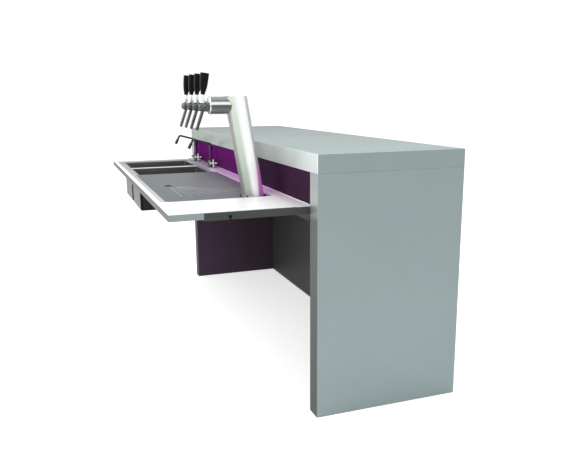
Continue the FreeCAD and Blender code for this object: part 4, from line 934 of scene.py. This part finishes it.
# Mixers: the cross arms' plane beyond the barrel, the spout's reach, fall and nozzle lean, and the dress
CROSS_PLANE = 0.015
CROSS_ARMS = 4
SPOUT_REACH, NOZZLE_TIP_ABOVE_DECK = 0.145, 0.124
NOZZLE_LEAN = math.radians(27)
BARREL_RING = {"outer": 0.0152, "inner": 0.0139, "low": -0.008, "high": -0.0015, "edge": 0.0006}
BASE_RING = {"outer": 0.0215, "inner": 0.0198, "low": 0.0001, "high": 0.0030, "edge": 0.0008}
VALVE_CAP_OUTLINE = [(0.0070, 0.0238), (0.0074, 0.0244), (0.0066, 0.0254), (0.0040, 0.0260), (0.0004, 0.0262)]
CROSS_ARM_OUTLINE = [(0.0034, 0.0070), (0.0044, 0.0082), (0.0048, 0.0180), (0.0050, 0.0222),
                     (0.0044, 0.0241), (0.0024, 0.0250), (0.0004, 0.0252)]
NOZZLE_OUTLINE = [(0.0078, -0.0004), (0.0094, 0.0004), (0.0099, 0.0020), (0.0099, 0.0270),
                  (0.0096, 0.0330), (0.0088, 0.0370), (0.0072, 0.0384)]


def cross_sleeves(name, place):
    """Four plump arms over a cross handle, as one mesh; local Z is the handle's axis."""
    hub = place @ Matrix.Translation((0, 0, CROSS_PLANE))
    work = bmesh.new()
    for step in range(CROSS_ARMS):
        arm = Matrix.Rotation(step * QUARTER_TURN, 4, "Z") @ Matrix.Rotation(QUARTER_TURN, 4, "Y")
        mesh = lathe(f"{name}_{step}", CROSS_ARM_OUTLINE, hub @ arm, ARM_SIDES)
        work.from_mesh(mesh)
        bpy.data.meshes.remove(mesh)
    whole = bpy.data.meshes.new(name)
    work.to_mesh(whole)
    work.free()
    return whole


def nozzle_sleeve(name, swing):
    """A plump sleeve over a spout's nozzle, up to its bend."""
    tip = Vector((swing.x, swing.y - SPOUT_REACH, WORKTOP_HIGH[2] + NOZZLE_TIP_ABOVE_DECK))
    return lathe(name, NOZZLE_OUTLINE, Matrix.Translation(tip) @ Matrix.Rotation(-NOZZLE_LEAN, 4, "X"))


def mixer_dress():
    """Rings, caps and plump arms on each mixer, and a sleeve on each spout's nozzle."""
    for name in MIXERS:
        swing = joint_place(f"{name}_spout_swing")
        # The near handles take a white painted highlight; the far handles take the dark mixer finish as painted
        # shade
        for side, end, finish in ((1, "near", "highlight_chrome"), (-1, "far", "mixer")):
            valve = joint_place(f"{name}_{end}_valve_turn")
            place = Matrix.Translation(valve) @ Matrix.Rotation(side * QUARTER_TURN, 4, "Y")
            body = f"{name}_{end}_valve"
            band = ring(f"{name}_{end}_barrel_ring", place, **BARREL_RING)
            finish_piece(band, "mixer", "counter")
            finish_piece(lathe(f"{body}_cap", VALVE_CAP_OUTLINE, place), finish, body)
            finish_piece(cross_sleeves(f"{name}_{end}_cross_arms", place), finish, body)
        base = Matrix.Translation((swing.x, swing.y, WORKTOP_HIGH[2]))
        finish_piece(ring(f"{name}_mixer_plate", base, **BASE_RING), "mixer", "counter")
        finish_piece(nozzle_sleeve(f"{name}_nozzle_sleeve", swing), "dark_chrome", f"{name}_spout")


# Studio: the floor's half width, how bright the floor looks by itself, the world's light and the lamps
FLOOR_REACH = 30.0
FLOOR_TONES = (0.86, 0.86, 0.86), (0.88, 0.88, 0.88)
FLOOR_SEEN, FLOOR_MIRRORED = 0.6, 0.25
WHITE = (1, 1, 1)
WORLD_LIGHT = 0.65
LAMP_AIM = Vector((0.2, 0.0, 0.8))
LAMP_SIZE = 5.0
LAMPS = (("service_light", (0.5, -4.5, 3.6), 150.0), ("top_light", (-0.5, 0.5, 5.0), 120.0))


def pale_floor():
    """A wide pale floor that keeps the counter's shadow."""
    floor = bpy.data.meshes.new("floor")
    corners = [(-1, -1), (1, -1), (1, 1), (-1, 1)]
    floor.from_pydata([(x * FLOOR_REACH, y * FLOOR_REACH, 0) for x, y in corners], [], [[0, 1, 2, 3]])
    material, shader, coords = new_material("pale_floor")
    path = coords.tree.nodes.new("ShaderNodeLightPath")
    seen = Shade(coords.tree, path.outputs["Is Camera Ray"]) * FLOOR_SEEN
    seen = seen + Shade(coords.tree, path.outputs["Is Glossy Ray"]) * FLOOR_MIRRORED
    feed(shader, Base__Color=coords.noise(scale=0.6).mix(*FLOOR_TONES), Roughness=0.9,
         Emission__Color=seen.mix(UNLIT, WHITE), Emission__Strength=1.0)
    floor.materials.append(material)
    ground = bpy.data.objects.new("floor", floor)
    bpy.context.scene.collection.objects.link(ground)


def white_surround():
    """A world that is white to look at and in mirrors, and lights the counter more softly."""
    world = bpy.data.worlds.new("studio")
    bpy.context.scene.world = world
    world.use_nodes = True
    tree = world.node_tree
    sky = tree.nodes["Background"]
    path = tree.nodes.new("ShaderNodeLightPath")
    seen = Shade(tree, path.outputs["Is Camera Ray"]) + Shade(tree, path.outputs["Is Glossy Ray"])
    seen = seen + Shade(tree, path.outputs["Is Transmission Ray"])
    strength = seen.between(0.0, 1.0) * (1 - WORLD_LIGHT) + WORLD_LIGHT
    tree.links.new(strength.socket, sky.inputs["Strength"])
    sky.inputs["Color"].default_value = (*WHITE, 1)


def soft_lamps():
    """Two large lamps, one over the service side and one above."""
    for name, place, power in LAMPS:
        lamp = bpy.data.lights.new(name, "AREA")
        lamp.size = LAMP_SIZE
        lamp.energy = power
        holder = bpy.data.objects.new(name, lamp)
        holder.location = place
        aim = LAMP_AIM - Vector(place)
        holder.rotation_euler = aim.to_track_quat("-Z", "Y").to_euler()
        bpy.context.scene.collection.objects.link(holder)


def photo_camera():
    """The camera at the photograph's place, with the photograph's frame."""
    lens = bpy.data.cameras.new("photo_camera")
    lens.sensor_fit = "HORIZONTAL"
    lens.sensor_width = SENSOR
    lens.lens = FOCAL_PIXELS / PHOTO_WIDTH * SENSOR
    camera = bpy.data.objects.new("photo_camera", lens)
    turn = Matrix((CAMERA_RIGHT, CAMERA_UP, -CAMERA_FORWARD)).transposed()
    camera.matrix_world = Matrix.Translation(CAMERA_PLACE) @ turn.to_4x4()
    bpy.context.scene.collection.objects.link(camera)
    bpy.context.scene.camera = camera


finish_nodes()
tap_handles()
tap_dress()
welds()
seals()
lining_screws()
clamp_tabs()
sink_dress()
mixer_dress()
pale_floor()
white_surround()
soft_lamps()
photo_camera()
bpy.context.scene.view_settings.view_transform = "Standard"
